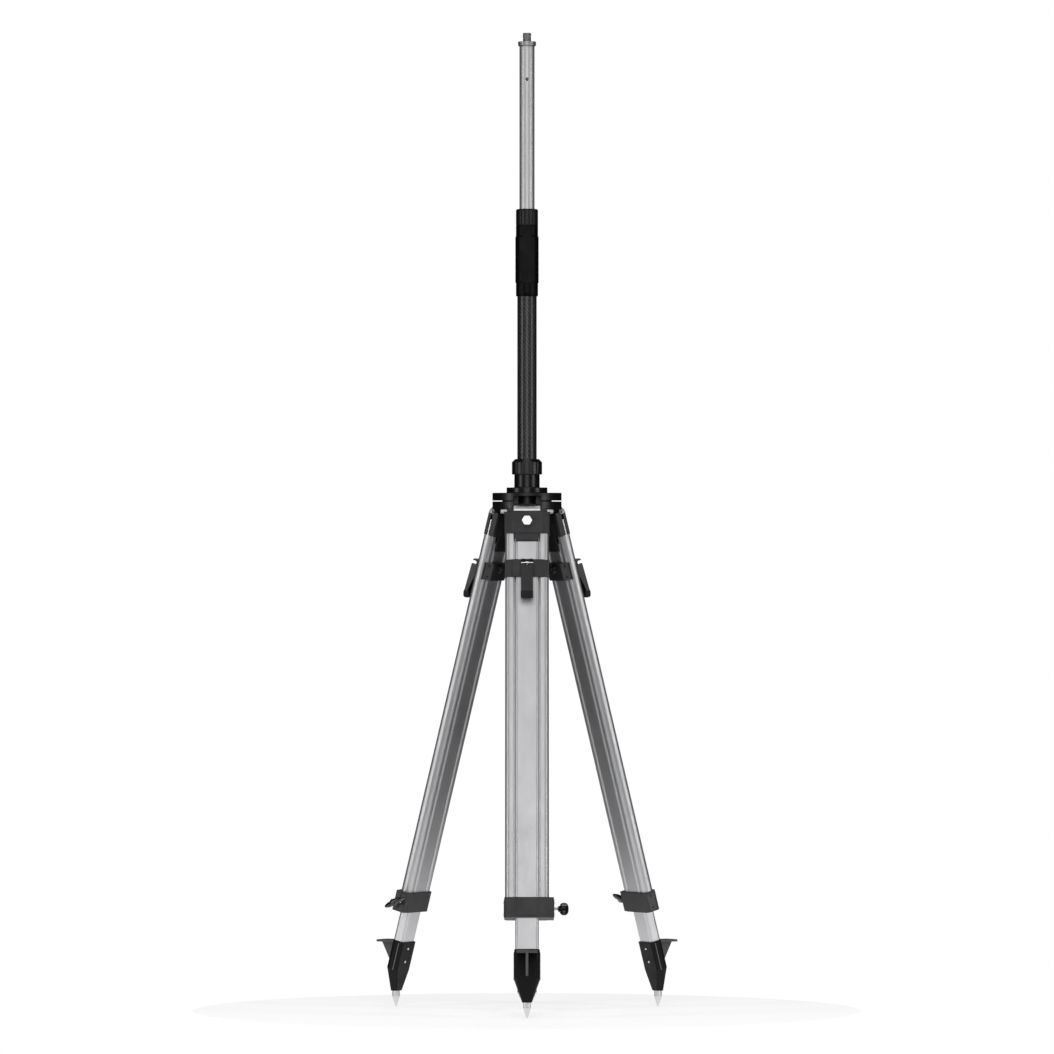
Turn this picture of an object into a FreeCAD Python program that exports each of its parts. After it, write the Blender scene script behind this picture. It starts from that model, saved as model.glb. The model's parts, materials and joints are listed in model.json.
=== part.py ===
import FreeCAD, Part
import math
import os

# Surveying tripod with a telescopic GNSS pole held upright through its head by a collet.
# Millimetres. +Z is up along the pole; the origin is the ground point under the pole's tip.
# One leg is built in its own frame and placed three times. In the leg frame the hinge axis is
# the Y axis, X points out of the leg's front face, and the leg hangs down along -Z.

# ---- tripod layout -------------------------------------------------------------------------
LEG_AZIMUTHS = {"front": -90.0, "right": 30.0, "left": 150.0}
splay = 15.1
hinge_radius = 49.6
hinge_height = 927.0

# ---- clearances ----------------------------------------------------------------------------
slide_gap = 0.3
running_gap = 0.05
fit_gap = 0.02
bolt_gap = 0.3
face_gap = 0.4

# ---- head ----------------------------------------------------------------------------------
head_radius = 64.2
head_bottom = hinge_height + 2.6
head_top = head_bottom + 31.9
groove_bottom = head_bottom + 15.7
groove_top = groove_bottom + 1.9
groove_radius = 46.0
plate_thickness_over_pocket = 5.9
pocket_ceiling = head_top - plate_thickness_over_pocket
head_edge_break = 0.8
ear_radius = 8.0
ear_width = 12.1

# ---- pole ----------------------------------------------------------------------------------
pole_height = 1800.0
cap_height = 9.3
tube_radius = 18.0
tube_wall = 2.0
tube_start = 34.0
tube_end = 1470.0
point_shoulder = 26.0
point_tip_radius = 1.0
point_plug = 40.0
inner_radius = tube_radius - tube_wall - 2.0
inner_wall = 1.5
inner_start = 1100.0
inner_swage = 30.0
preset_hole_radius = 2.75
preset_hole_drop = 61.3
preset_hole_height = pole_height - cap_height - preset_hole_drop
cap_radius = inner_radius + 2.7
cap_bevel = 2.4
cap_plug = 26.0
stud_radius = 7.9375
stud_length = 16.0
grip_top = tube_end - 11.0
grip_bottom = grip_top - 132.4
grip_radius = tube_radius + 2.5
grip_swell = 1.15
grip_swell_bottom = grip_bottom + 24.4
grip_swell_top = grip_top - 22.0
lock_height = 29.5
lock_top = grip_top + slide_gap + lock_height
lock_nose_radius = grip_radius - 6.0
lock_nose_offset = 8.0
lock_edge = 3.0

# ---- collet adapter ------------------------------------------------------------------------
collar_radius = tube_radius + 5.6
flange_radius = collar_radius + 14.3
flange_height = 9.9
collar_height = 24.1
barrel_wall = 3.1
barrel_drop = 31.0
spigot_height = 17.4
adapter_nut_radius = tube_radius + 6.6
adapter_nut_height = 14.3
adapter_nut_dome = 1.6
nut_radius = tube_radius + 10.0
nut_height = 28.8
nut_lobes = 12
nut_flute_radius = 4.2
nut_flute_depth = 1.3
nut_bevel = 6.0
collet_seat_height = 7.0
collet_seat_flare = 1.2
collet_wall = 1.1
collet_flange_radius = tube_radius + 4.0
collet_flange_height = 7.0
collet_slots = 6
collet_slot_width = 1.2

# ---- leg tubes -----------------------------------------------------------------------------
rail_inner_side = 21.9
rail_width = 18.4
rail_depth = 21.0
rail_outer_corner = 9.0
rail_inner_corner = 4.0
rail_wall = 1.8
rail_outer_side = rail_inner_side + rail_width
rail_start = rail_depth / 2 + 5.0
leg_half_width = rail_inner_side - slide_gap
leg_depth = rail_depth + 0.7
leg_corner = 5.0
leg_wall = 2.0
leg_start = 60.5
leg_socket = 46.2

# ---- top clamp -----------------------------------------------------------------------------
clamp_half_width = rail_outer_side + 1.7
clamp_length = 45.0
clamp_front = rail_depth / 2 + 4.0
clamp_flat = rail_outer_side - 10.8
clamp_side = rail_depth / 2 - 3.5
clamp_back = -rail_depth / 2 - 5.0
clamp_split = 4.0
clamp_top_gap = 0.4
clamp_lip_rise = 1.6
clamp_bolt_drop = 22.6
clamp_bolt_flats = 17.0
clamp_bolt_head = 6.4
clamp_bolt_radius = 5.0
clamp_boss_radius = 13.3
clamp_boss_height = 0.8
tongue_length = 14.5
tongue_half_top = rail_inner_side + 1.3
tongue_half_bottom = tongue_half_top - 2.2
guide_length = 29.0
guide_half = rail_inner_side - 0.9
guide_thickness = 2.8

# ---- hinge shaft ---------------------------------------------------------------------------
barrel_half = 25.0
clamp_lip_half = barrel_half - 0.2
barrel_radius = rail_depth / 2 + 3.1
barrel_waist = 0.5
barrel_collar = 8.0
shaft_radius = 4.0
shaft_end_radius = 3.7
shaft_end = clamp_half_width + 6.7
shaft_washer_radius = 4.4
shaft_washer_thickness = 1.6

# ---- sliding clamp -------------------------------------------------------------------------
jaw_top = 95.6
jaw_height = 33.0
jaw_half_width = rail_outer_side - 1.1
jaw_front = rail_depth / 2 + 4.5
jaw_front_flat = rail_outer_side - 13.3
jaw_back = -rail_depth / 2 - 8.5
jaw_back_flat = rail_outer_side - 15.3
jaw_side = rail_depth / 2 - 1.9
jaw_lip = rail_depth / 2 - 4.2
jaw_boss_radius = 8.5
jaw_boss_height = 2.2
ear_block_half = 11.0
ear_block_reach = 6.2
plate_thickness = 1.5
plate_margin = 1.2
plate_screw_radius = 1.6

# ---- cam lever and its bolt ----------------------------------------------------------------
lever_half_width = 11.1
pivot_drop = jaw_top + 10.4
pivot_reach = jaw_front + 13.5
pin_radius = 2.5
pin_half = 11.0
cam_bolt_radius = 3.25
cam_nut_flats = 11.0
cam_nut_height = 3.2
lever_length = 68.0
lever_face = 6.8
lever_rake = 3.2
lever_groove_half = 3.25
lever_slot_half = 3.75
lever_wall = 2.5

# ---- foot ----------------------------------------------------------------------------------
foot_mouth_height = 123.92
foot_top = (hinge_height - foot_mouth_height) / math.cos(math.radians(splay))
foot_straight = 54.2
foot_half_width = leg_half_width + 1.9
foot_front = leg_depth / 2 + 1.45
foot_back = -leg_depth / 2 - 2.35
foot_front_corner = 8.5
foot_back_corner = 3.0
foot_bottom = 29.5
foot_bottom_half_width = 9.0
foot_bottom_half_depth = 7.4
tip_setback = 16.4
tip_reach = hinge_radius + hinge_height * math.tan(math.radians(splay)) - tip_setback
tip_radius = 7.2
tip_cylinder = 10.5
tip_flat_radius = 1.0
tip_stud_radius = 4.5
tip_stud_length = 12.0
step_reach = tip_reach + 32.7
step_half_width = 19.4
step_top = 125.4
step_thickness = 4.0
step_rib_half = 2.4
step_rib_top_reach = step_reach - 3.4
step_rib_low_reach = step_reach - 25.0
step_rib_low = 77.5

# ---- lower bracket -------------------------------------------------------------------------
bracket_above_foot = 96.8
bracket_top = foot_top - bracket_above_foot
bracket_height = 38.0
bracket_floor = 2.0
bracket_half_width = rail_outer_side + 1.5
bracket_boss_end = bracket_half_width + 7.4
bracket_front = rail_depth / 2 + 3.5
bracket_front_flat = rail_outer_side - 4.1
bracket_shoulder = rail_outer_side - 1.7
bracket_shoulder_depth = bracket_front - 1.7
bracket_corner_depth = bracket_front - 4.5
bracket_pad_half = 19.5
bracket_pad = 1.6
bracket_pad_height = 35.0

# ---- wing screw ----------------------------------------------------------------------------
wing_drop = bracket_top + 19.5
stem_radius = 3.0
wing_start = bracket_boss_end + 9.8
wing_end = wing_start + 17.6
stem_end = wing_start + 3.0
wing_reach = 24.5
wing_thickness = 6.4
wing_hub_radius = 5.4
wing_hub_start = wing_start - 2.0
wing_turn = -40.8

O = FreeCAD.Vector(0, 0, 0)
X = FreeCAD.Vector(1, 0, 0)
Y = FreeCAD.Vector(0, 1, 0)
Z = FreeCAD.Vector(0, 0, 1)


def at(x, y, z):
    return FreeCAD.Vector(x, y, z)


# ---- shape helpers -------------------------------------------------------------------------
def box(x0, x1, y0, y1, z0, z1):
    return Part.makeBox(x1 - x0, y1 - y0, z1 - z0, at(x0, y0, z0))


def rod(radius, start, end):
    return Part.makeCylinder(radius, (end - start).Length, start, end - start)


def hex_rod(flats, start, end, corner_towards):
    """A hexagonal bar whose first corner points along corner_towards."""
    along = end - start
    side = along.cross(corner_towards)
    side.normalize()
    reach = flats / math.sqrt(3.0)
    corners = []
    for i in range(7):
        turn = math.radians(60.0 * i)
        corners.append(start + corner_towards * (reach * math.cos(turn)) + side * (reach * math.sin(turn)))
    return Part.Face(Part.makePolygon(corners)).extrude(along)


def outline(corners, put):
    """A closed wire through 2-D corners (u, v, radius), each rounded by its radius."""
    count = len(corners)
    starts, middles, ends = [], [], []
    for i in range(count):
        u, v, radius = corners[i]
        before = corners[i - 1]
        after = corners[(i + 1) % count]
        to_before = (before[0] - u, before[1] - v)
        to_after = (after[0] - u, after[1] - v)
        len_before = math.hypot(*to_before)
        len_after = math.hypot(*to_after)
        one = (to_before[0] / len_before, to_before[1] / len_before)
        two = (to_after[0] / len_after, to_after[1] / len_after)
        half = math.acos(max(-1.0, min(1.0, one[0] * two[0] + one[1] * two[1]))) / 2.0
        if radius <= 0:
            starts.append((u, v))
            middles.append(None)
            ends.append((u, v))
            continue
        back = radius / math.tan(half)
        starts.append((u + one[0] * back, v + one[1] * back))
        ends.append((u + two[0] * back, v + two[1] * back))
        mid = (one[0] + two[0], one[1] + two[1])
        length = math.hypot(*mid)
        out = radius / math.sin(half) - radius
        middles.append((u + mid[0] / length * out, v + mid[1] / length * out))
    edges = []
    for i in range(count):
        if middles[i]:
            edges.append(Part.Arc(put(*starts[i]), put(*middles[i]), put(*ends[i])).toShape())
        following = starts[(i + 1) % count]
        if math.hypot(following[0] - ends[i][0], following[1] - ends[i][1]) > 1e-6:
            edges.append(Part.LineSegment(put(*ends[i]), put(*following)).toShape())
    return Part.Wire(edges)


def down_prism(corners, top, bottom):
    """A prism along the leg, from corners (front, side, radius), between two drops."""
    wire = outline(corners, lambda u, v: at(u, v, -bottom))
    return Part.Face(wire).extrude(at(0, 0, bottom - top))


def side_prism(corners, near, far):
    """A prism across the leg, from corners (front, drop, radius), between two sides."""
    wire = outline(corners, lambda u, v: at(u, near, -v))
    return Part.Face(wire).extrude(at(0, far - near, 0))


def turned(profile):
    """A solid of revolution about Z from (radius, height) points."""
    points = [at(r, 0, z) for r, z in profile]
    return Part.Face(Part.makePolygon(points + points[:1])).revolve(O, Z, 360)


def mirrored(shape):
    """The same shape on the other side of the leg."""
    return shape.mirror(O, Y)


def from_plumb(shape):
    """Turns a shape made upright, about the hinge axis, into the leg frame."""
    turned_shape = shape.copy()
    turned_shape.rotate(O, Y, splay)
    return turned_shape


def fused(shapes):
    result = shapes[0]
    for shape in shapes[1:]:
        result = result.fuse(shape)
    return result.removeSplitter()


# ---- outlines shared by the leg's pieces ---------------------------------------------------
def rail_corners(grow):
    near = rail_inner_side - grow
    far = rail_inner_side + rail_width + grow
    half = rail_depth / 2 + grow
    return [
        (half, near, rail_inner_corner + grow),
        (half, far, rail_outer_corner + grow),
        (-half, far, rail_outer_corner + grow),
        (-half, near, rail_inner_corner + grow),
    ]


def leg_corners(grow):
    side = leg_half_width + grow
    half = leg_depth / 2 + grow
    radius = leg_corner + grow
    return [(half, -side, radius), (half, side, radius), (-half, side, radius), (-half, -side, radius)]


def rail_space(grow, top, bottom):
    """Both rails' outer shapes, grown by a clearance, to cut from what surrounds them."""
    one = down_prism(rail_corners(grow), top, bottom)
    return one.fuse(mirrored(one))


# ---- head, hinge shafts and collet ---------------------------------------------------------
def tripod_head():
    body = turned([
        (0, head_bottom), (head_radius - head_edge_break, head_bottom),
        (head_radius, head_bottom + head_edge_break), (head_radius, groove_bottom),
        (groove_radius, groove_bottom), (groove_radius, groove_top), (head_radius, groove_top),
        (head_radius, head_top - head_edge_break), (head_radius - head_edge_break, head_top), (0, head_top),
    ])
    pocket_half = barrel_half + face_gap
    ear_end = pocket_half + ear_width
    body = body.cut(rod(adapter_nut_radius + 1.0, at(0, 0, head_bottom - 1), at(0, 0, pocket_ceiling)))
    body = body.cut(rod(tube_radius + face_gap + barrel_wall + bolt_gap, O, at(0, 0, head_top + 1)))
    for azimuth in LEG_AZIMUTHS.values():
        pocket = box(20, head_radius + 5, -pocket_half, pocket_half, head_bottom - 5, pocket_ceiling)
        pocket.rotate(O, Z, azimuth)
        body = body.cut(pocket)
    for azimuth in LEG_AZIMUTHS.values():
        bore = rod(shaft_radius + fit_gap, at(hinge_radius, -shaft_end - 5, hinge_height),
                   at(hinge_radius, shaft_end + 5, hinge_height))
        bore.rotate(O, Z, azimuth)
        body = body.cut(bore)
        for side in (-1, 1):
            near, far = sorted((side * (clamp_half_width - 0.5), side * (shaft_end + 5)))
            room = rod(shaft_washer_radius + face_gap, at(hinge_radius, near, hinge_height),
                       at(hinge_radius, far, hinge_height))
            room.rotate(O, Z, azimuth)
            body = body.cut(room)
    for azimuth in LEG_AZIMUTHS.values():
        for side in (-1, 1):
            near, far = sorted((side * pocket_half, side * ear_end))
            ear = rod(ear_radius, at(hinge_radius, near, hinge_height), at(hinge_radius, far, hinge_height))
            neck = box(hinge_radius - ear_radius, hinge_radius + ear_radius, near, far,
                       hinge_height, head_bottom + 2)
            bore = rod(shaft_radius + fit_gap, at(hinge_radius, near - 1, hinge_height),
                       at(hinge_radius, far + 1, hinge_height))
            lug = ear.fuse(neck).cut(bore)
            lug.rotate(O, Z, azimuth)
            body = body.fuse(lug)
    return body.removeSplitter()


def hinge_shaft():
    """Fixed shaft of one leg hinge: a waisted barrel that the top clamp grips, and two ends."""
    collar_start = barrel_half - barrel_collar
    top_arc = Part.Arc(at(0, -collar_start, barrel_radius), at(0, 0, barrel_radius - barrel_waist),
                       at(0, collar_start, barrel_radius)).toShape()
    edge_break = 0.6
    points = [
        at(0, collar_start, barrel_radius), at(0, barrel_half - edge_break, barrel_radius),
        at(0, barrel_half, barrel_radius - edge_break), at(0, barrel_half, shaft_radius),
        at(0, clamp_half_width + face_gap, shaft_radius),
        at(0, clamp_half_width + face_gap, shaft_washer_radius),
        at(0, clamp_half_width + shaft_washer_thickness, shaft_washer_radius),
        at(0, clamp_half_width + shaft_washer_thickness, shaft_end_radius),
        at(0, shaft_end - edge_break, shaft_end_radius), at(0, shaft_end, shaft_end_radius - edge_break),
        at(0, shaft_end, 0),
    ]
    left = [at(p.x, -p.y, p.z) for p in reversed(points)]
    edges = [top_arc] + Part.makePolygon(points + left).Edges
    face = Part.Face(Part.Wire(Part.__sortEdges__(edges)))
    shaft = face.revolve(O, Y, 360)
    shaft.translate(at(hinge_radius, 0, hinge_height))
    return shaft


def pole_adapter():
    """Flanged sleeve on the head: a collar, a spigot for the collet nut and a barrel through."""
    bore = tube_radius + face_gap
    wall = bore + barrel_wall
    flange_top = head_top + flange_height
    collar_top = flange_top + collar_height
    spigot_top = collar_top + spigot_height
    seat = spigot_top - collet_seat_height
    return turned([
        (bore, head_top - barrel_drop), (wall, head_top - barrel_drop), (wall, head_top),
        (flange_radius - 0.6, head_top), (flange_radius, head_top + 0.6), (flange_radius, flange_top - 0.8),
        (flange_radius - 0.8, flange_top), (collar_radius + 1.0, flange_top),
        (collar_radius, flange_top + 1.0), (collar_radius, collar_top),
        (wall - 0.5, collar_top), (wall - 0.5, spigot_top),
        (bore + collet_wall + collet_seat_flare, spigot_top), (bore + collet_wall, seat), (bore, seat),
    ])


def adapter_nut():
    """Round nut under the head plate that holds the adapter."""
    hole = tube_radius + face_gap + barrel_wall + running_gap
    top = pocket_ceiling
    low = top - adapter_nut_height
    return turned([
        (hole, low - adapter_nut_dome), (hole + 1.2, low - adapter_nut_dome), (adapter_nut_radius, low),
        (adapter_nut_radius, top - 0.6), (adapter_nut_radius - 0.6, top), (hole, top),
    ])


def collet_ring():
    """Slotted collet: its cone sits in the spigot's mouth and the nut presses its flange."""
    spigot_top = head_top + flange_height + collar_height + spigot_height
    hole = tube_radius + running_gap
    cone_low = hole + collet_wall
    seat = spigot_top - collet_seat_height
    ring = turned([
        (hole, seat + face_gap), (cone_low, seat + face_gap),
        (cone_low + collet_seat_flare, spigot_top), (cone_low + collet_seat_flare, spigot_top + face_gap),
        (collet_flange_radius, spigot_top + face_gap),
        (collet_flange_radius, spigot_top + face_gap + collet_flange_height),
        (hole, spigot_top + face_gap + collet_flange_height),
    ])
    for i in range(collet_slots):
        slot = box(0, collet_flange_radius + 5, -collet_slot_width / 2, collet_slot_width / 2,
                   seat - 1, spigot_top + face_gap)
        slot.rotate(O, Z, 360.0 / collet_slots * i)
        ring = ring.cut(slot)
    return ring


def collet_nut():
    """Ribbed hand nut over the spigot, with a bevelled top."""
    low = head_top + flange_height + collar_height
    top = low + nut_height
    spigot = tube_radius + face_gap + barrel_wall - 0.5
    shelf = low + spigot_height + face_gap + collet_flange_height + slide_gap
    body = turned([
        (spigot + slide_gap, low), (nut_radius - 1.0, low), (nut_radius, low + 1.0),
        (nut_radius, top - nut_bevel), (nut_radius - nut_bevel, top), (tube_radius + face_gap, top),
        (tube_radius + face_gap, shelf), (collet_flange_radius + slide_gap, shelf),
        (collet_flange_radius + slide_gap, low + spigot_height), (spigot + slide_gap, low + spigot_height),
    ])
    for i in range(nut_lobes):
        turn = math.radians(360.0 / nut_lobes * (i + 0.5))
        reach = nut_radius + nut_flute_radius - nut_flute_depth
        foot = at(reach * math.cos(turn), reach * math.sin(turn), low - 1)
        body = body.cut(rod(nut_flute_radius, foot, foot + at(0, 0, nut_height + 2)))
    return body


# ---- pole ----------------------------------------------------------------------------------
def outer_tube():
    return turned([
        (tube_radius - tube_wall, tube_start), (tube_radius, tube_start),
        (tube_radius, tube_end), (tube_radius - tube_wall, tube_end),
    ])


def pole_point():
    """Steel point that screws into the foot of the carbon tube."""
    plug = tube_radius - tube_wall
    return turned([
        (0, 0), (point_tip_radius, 0), (tube_radius - 3.0, point_shoulder),
        (tube_radius - 3.0, point_shoulder + 4), (tube_radius - 0.4, point_shoulder + 5),
        (tube_radius - 0.4, tube_start), (plug, tube_start), (plug, tube_start + point_plug),
        (0, tube_start + point_plug),
    ])


def grip():
    """Moulded sleeve on the upper end of the carbon tube."""
    swell = grip_radius + grip_swell
    return turned([
        (tube_radius, grip_bottom), (grip_radius - 1.2, grip_bottom), (grip_radius, grip_bottom + 1.2),
        (grip_radius, grip_swell_bottom), (swell, grip_swell_bottom + grip_swell),
        (swell, grip_swell_top - grip_swell), (grip_radius, grip_swell_top),
        (grip_radius, grip_top), (tube_radius, grip_top),
    ])


def lock_collar():
    """Twist collar that locks the inner tube, with a nose over the front of the grip."""
    low = grip_top + slide_gap
    body = turned([
        (0, low), (grip_radius, low), (grip_radius, lock_top - lock_edge),
        (grip_radius - lock_edge * 0.3, lock_top - lock_edge * 0.3), (grip_radius - lock_edge, lock_top),
        (0, lock_top),
    ])
    nose = turned([
        (0, low), (lock_nose_radius, low), (lock_nose_radius, lock_top - lock_edge),
        (lock_nose_radius - lock_edge * 0.3, lock_top - lock_edge * 0.3),
        (lock_nose_radius - lock_edge, lock_top), (0, lock_top),
    ])
    nose.translate(at(0, -lock_nose_offset, 0))
    body = body.fuse(nose)
    body = body.cut(rod(tube_radius + slide_gap, at(0, 0, low - 1), at(0, 0, tube_end + face_gap)))
    return body.cut(rod(inner_radius + slide_gap, at(0, 0, low - 1), at(0, 0, lock_top + 1)))


def inner_tube():
    """Aluminium tube with a swaged lower end that runs in the carbon tube."""
    top = pole_height - cap_height
    swaged = tube_radius - tube_wall - running_gap
    bore = inner_radius - inner_wall
    body = turned([
        (swaged - inner_wall, inner_start), (swaged, inner_start), (swaged, inner_start + inner_swage),
        (inner_radius, inner_start + inner_swage + 3), (inner_radius, top), (bore, top),
        (bore, inner_start + inner_swage + 3), (swaged - inner_wall, inner_start + inner_swage),
    ])
    hole = rod(preset_hole_radius, at(0, 0, preset_hole_height), at(0, -inner_radius - 2, preset_hole_height))
    return body.cut(hole)


def pole_cap():
    """Top cap with the antenna stud and a plug glued into the inner tube."""
    low = pole_height - cap_height
    plug = inner_radius - inner_wall
    return turned([
        (0, low - cap_plug), (plug, low - cap_plug), (plug, low), (cap_radius - cap_bevel, low),
        (cap_radius, low + cap_bevel), (cap_radius, pole_height - 0.6), (cap_radius - 0.6, pole_height),
        (stud_radius, pole_height), (stud_radius, pole_height + stud_length - 1.0),
        (stud_radius - 1.0, pole_height + stud_length), (0, pole_height + stud_length),
    ])


# ---- leg pieces, in the leg frame ----------------------------------------------------------
def hinge_room():
    """Space that the barrel, the head's ears and the shaft ends take inside the top clamp."""
    ear_start = barrel_half + face_gap - 0.2
    ear_end = barrel_half + face_gap + ear_width + face_gap
    seat = rod(barrel_radius + running_gap, at(0, -ear_start, 0), at(0, ear_start, 0))
    ears = rod(ear_radius + 0.7, at(0, -ear_end, 0), at(0, ear_end, 0))
    ends = rod(shaft_radius + bolt_gap, at(0, -clamp_half_width - 1, 0), at(0, clamp_half_width + 1, 0))
    return fused([seat, ears, ends])


def clamp_bolt_hole(radius):
    return rod(radius, at(clamp_back - 5, 0, -clamp_bolt_drop), at(clamp_front + 5, 0, -clamp_bolt_drop))


def top_clamp_outer():
    """Front half of the top clamp, with the tongue that closes the gap between the rails."""
    split = clamp_split / 2
    shell = down_prism([
        (split, -clamp_half_width, 0), (clamp_side, -clamp_half_width, 1.5), (clamp_front, -clamp_flat, 2.0),
        (clamp_front, clamp_flat, 2.0), (clamp_side, clamp_half_width, 1.5), (split, clamp_half_width, 0),
    ], -2.0, clamp_length)
    boss = rod(clamp_boss_radius, at(clamp_front - 2, 0, -clamp_bolt_drop),
               at(clamp_front + clamp_boss_height, 0, -clamp_bolt_drop))
    rail_front = rail_depth / 2
    tongue_wire = outline([
        (-tongue_half_top, clamp_length - 4, 0), (tongue_half_top, clamp_length - 4, 0),
        (tongue_half_top, clamp_length, 0), (tongue_half_bottom, clamp_length + tongue_length, 1.0),
        (-tongue_half_bottom, clamp_length + tongue_length, 1.0), (-tongue_half_top, clamp_length, 0),
    ], lambda u, v: at(rail_front - 1.0, u, -v))
    tongue = Part.Face(tongue_wire).extrude(at(3.0, 0, 0))
    core = box(split, rail_front - 0.5, -leg_half_width, leg_half_width,
               -clamp_length - tongue_length, -clamp_length + 2)
    shell = fused([shell, boss, tongue, core])
    wide = clamp_half_width + 10
    above = box(-40, 60, -wide, wide, clamp_lip_rise, 30)
    for side in (-1, 1):
        near, far = sorted((side * clamp_lip_half, side * wide))
        above = above.fuse(box(-40, 60, near, far, -clamp_top_gap, 30))
    shell = shell.cut(from_plumb(above)).cut(hinge_room())
    shell = shell.cut(rail_space(running_gap, rail_start - face_gap, clamp_length + tongue_length + 5))
    return shell.cut(clamp_bolt_hole(clamp_bolt_radius + bolt_gap))


def top_clamp_inner():
    """Rear half of the top clamp, with a guide tab behind the sliding leg."""
    split = -clamp_split / 2
    shell = down_prism([
        (split, clamp_half_width, 0), (clamp_back + 2.5, clamp_half_width, 1.5),
        (clamp_back, clamp_half_width - 3.0, 1.5), (clamp_back, -clamp_half_width + 3.0, 1.5),
        (clamp_back + 2.5, -clamp_half_width, 1.5), (split, -clamp_half_width, 0),
    ], 0.5, clamp_length)
    leg_back = -leg_depth / 2 - face_gap
    guide = box(leg_back - guide_thickness, leg_back, -guide_half, guide_half,
                -clamp_length - guide_length, -clamp_length + 2)
    shell = shell.fuse(guide).cut(hinge_room())
    shell = shell.cut(rail_space(running_gap, rail_start - face_gap, clamp_length + guide_length + 5))
    return shell.cut(clamp_bolt_hole(clamp_bolt_radius + fit_gap)).removeSplitter()


def clamp_bolt():
    seat = clamp_front + clamp_boss_height
    drop = -clamp_bolt_drop
    head = hex_rod(clamp_bolt_flats, at(seat, 0, drop), at(seat + clamp_bolt_head, 0, drop), Y)
    corner_radius = clamp_bolt_flats / math.sqrt(3.0)
    round_over = Part.makeCone(corner_radius + clamp_bolt_head - 0.3, corner_radius - 0.6,
                               clamp_bolt_head, at(seat, 0, drop), X)
    shank = rod(clamp_bolt_radius, at(clamp_back - 2.0, 0, drop), at(seat + 1, 0, drop))
    return head.common(round_over).fuse(shank).removeSplitter()


def leg_rails():
    """The two fixed side tubes of one leg."""
    bottom = bracket_top + bracket_height - bracket_floor
    outer = down_prism(rail_corners(0), rail_start, bottom)
    tube = outer.cut(down_prism(rail_corners(-rail_wall), rail_start - 1, bottom + 1))
    stem_hole = rod(stem_radius + bolt_gap, at(0, 0, -wing_drop), at(0, bracket_boss_end, -wing_drop))
    return [tube.cut(stem_hole), mirrored(tube)]


def lower_bracket():
    """Bracket at the rails' lower ends, with the boss for the wing screw on one side."""
    bottom = bracket_top + bracket_height
    shoulder, flat = bracket_shoulder, bracket_front_flat
    deep, mid, corner = bracket_front, bracket_shoulder_depth, bracket_corner_depth
    body = down_prism([
        (corner, -bracket_half_width, 1.5), (mid, -shoulder, 0.6), (deep, -flat, 0.6),
        (deep, flat, 0.6), (mid, shoulder, 0.6), (mid, bracket_boss_end, 1.5),
        (-mid, bracket_boss_end, 1.5), (-mid, shoulder, 0.6), (-deep, flat, 0.6),
        (-deep, -flat, 0.6), (-mid, -shoulder, 0.6), (-corner, -bracket_half_width, 1.5),
    ], bracket_top, bottom)
    pad = side_prism([
        (deep - 1, bracket_top, 0), (deep + bracket_pad, bracket_top + 0.8, 0.8),
        (deep + bracket_pad, bracket_top + bracket_pad_height - 0.8, 0.8),
        (deep - 1, bracket_top + bracket_pad_height, 0),
    ], -bracket_pad_half, bracket_pad_half)
    body = body.fuse(pad)
    body = body.cut(rail_space(running_gap, bracket_top - 1, bottom - bracket_floor + running_gap))
    body = body.cut(down_prism(leg_corners(slide_gap), bracket_top - 1, bottom + 1))
    web = box(-leg_depth / 2 + leg_corner, leg_depth / 2 - leg_corner, -rail_inner_side - 2,
              rail_inner_side + 2, -bottom + bracket_floor, -bracket_top + 1)
    body = body.cut(web)
    hole = rod(stem_radius + running_gap, at(0, rail_inner_side, -wing_drop),
               at(0, bracket_boss_end + 1, -wing_drop))
    return body.cut(hole).removeSplitter()


def sliding_leg():
    """Centre tube that slides between the rails."""
    bottom = foot_top + leg_socket
    outer = down_prism(leg_corners(0), leg_start, bottom)
    tube = outer.cut(down_prism(leg_corners(-leg_wall), leg_start - 1, bottom + 1))
    hole = rod(cam_bolt_radius + bolt_gap, at(-20, 0, -pivot_drop), at(20, 0, -pivot_drop))
    return tube.cut(hole)


def cam_bolt_hole():
    return rod(cam_bolt_radius + bolt_gap, at(-60, 0, -pivot_drop), at(60, 0, -pivot_drop))


def jaw_outer():
    """Front jaw of the sliding clamp, with the block that carries the lever's cam."""
    bottom = jaw_top + jaw_height
    jaw = down_prism([
        (jaw_lip - 3, -jaw_half_width, 0), (jaw_side, -jaw_half_width, 1.0),
        (jaw_front, -jaw_front_flat, 1.5), (jaw_front, jaw_front_flat, 1.5),
        (jaw_side, jaw_half_width, 1.0), (jaw_lip - 3, jaw_half_width, 0),
    ], jaw_top, bottom)
    block = side_prism([
        (jaw_front - 1, jaw_top + 0.4, 0), (jaw_front + ear_block_reach, jaw_top + 0.9, 1.0),
        (jaw_front + ear_block_reach, jaw_top + 3.9, 0.8), (jaw_front - 1, jaw_top + 5.1, 0),
    ], -ear_block_half, ear_block_half)
    jaw = jaw.fuse(block)
    jaw = jaw.cut(rail_space(slide_gap, jaw_top - 1, bottom + 1))
    jaw = jaw.cut(down_prism(leg_corners(fit_gap), jaw_top - 1, bottom + 1))
    jaw = jaw.cut(box(-20, leg_depth / 2 - leg_corner, -60, 60, -bottom - 1, -jaw_top + 1))
    return jaw.cut(cam_bolt_hole()).removeSplitter()


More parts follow.
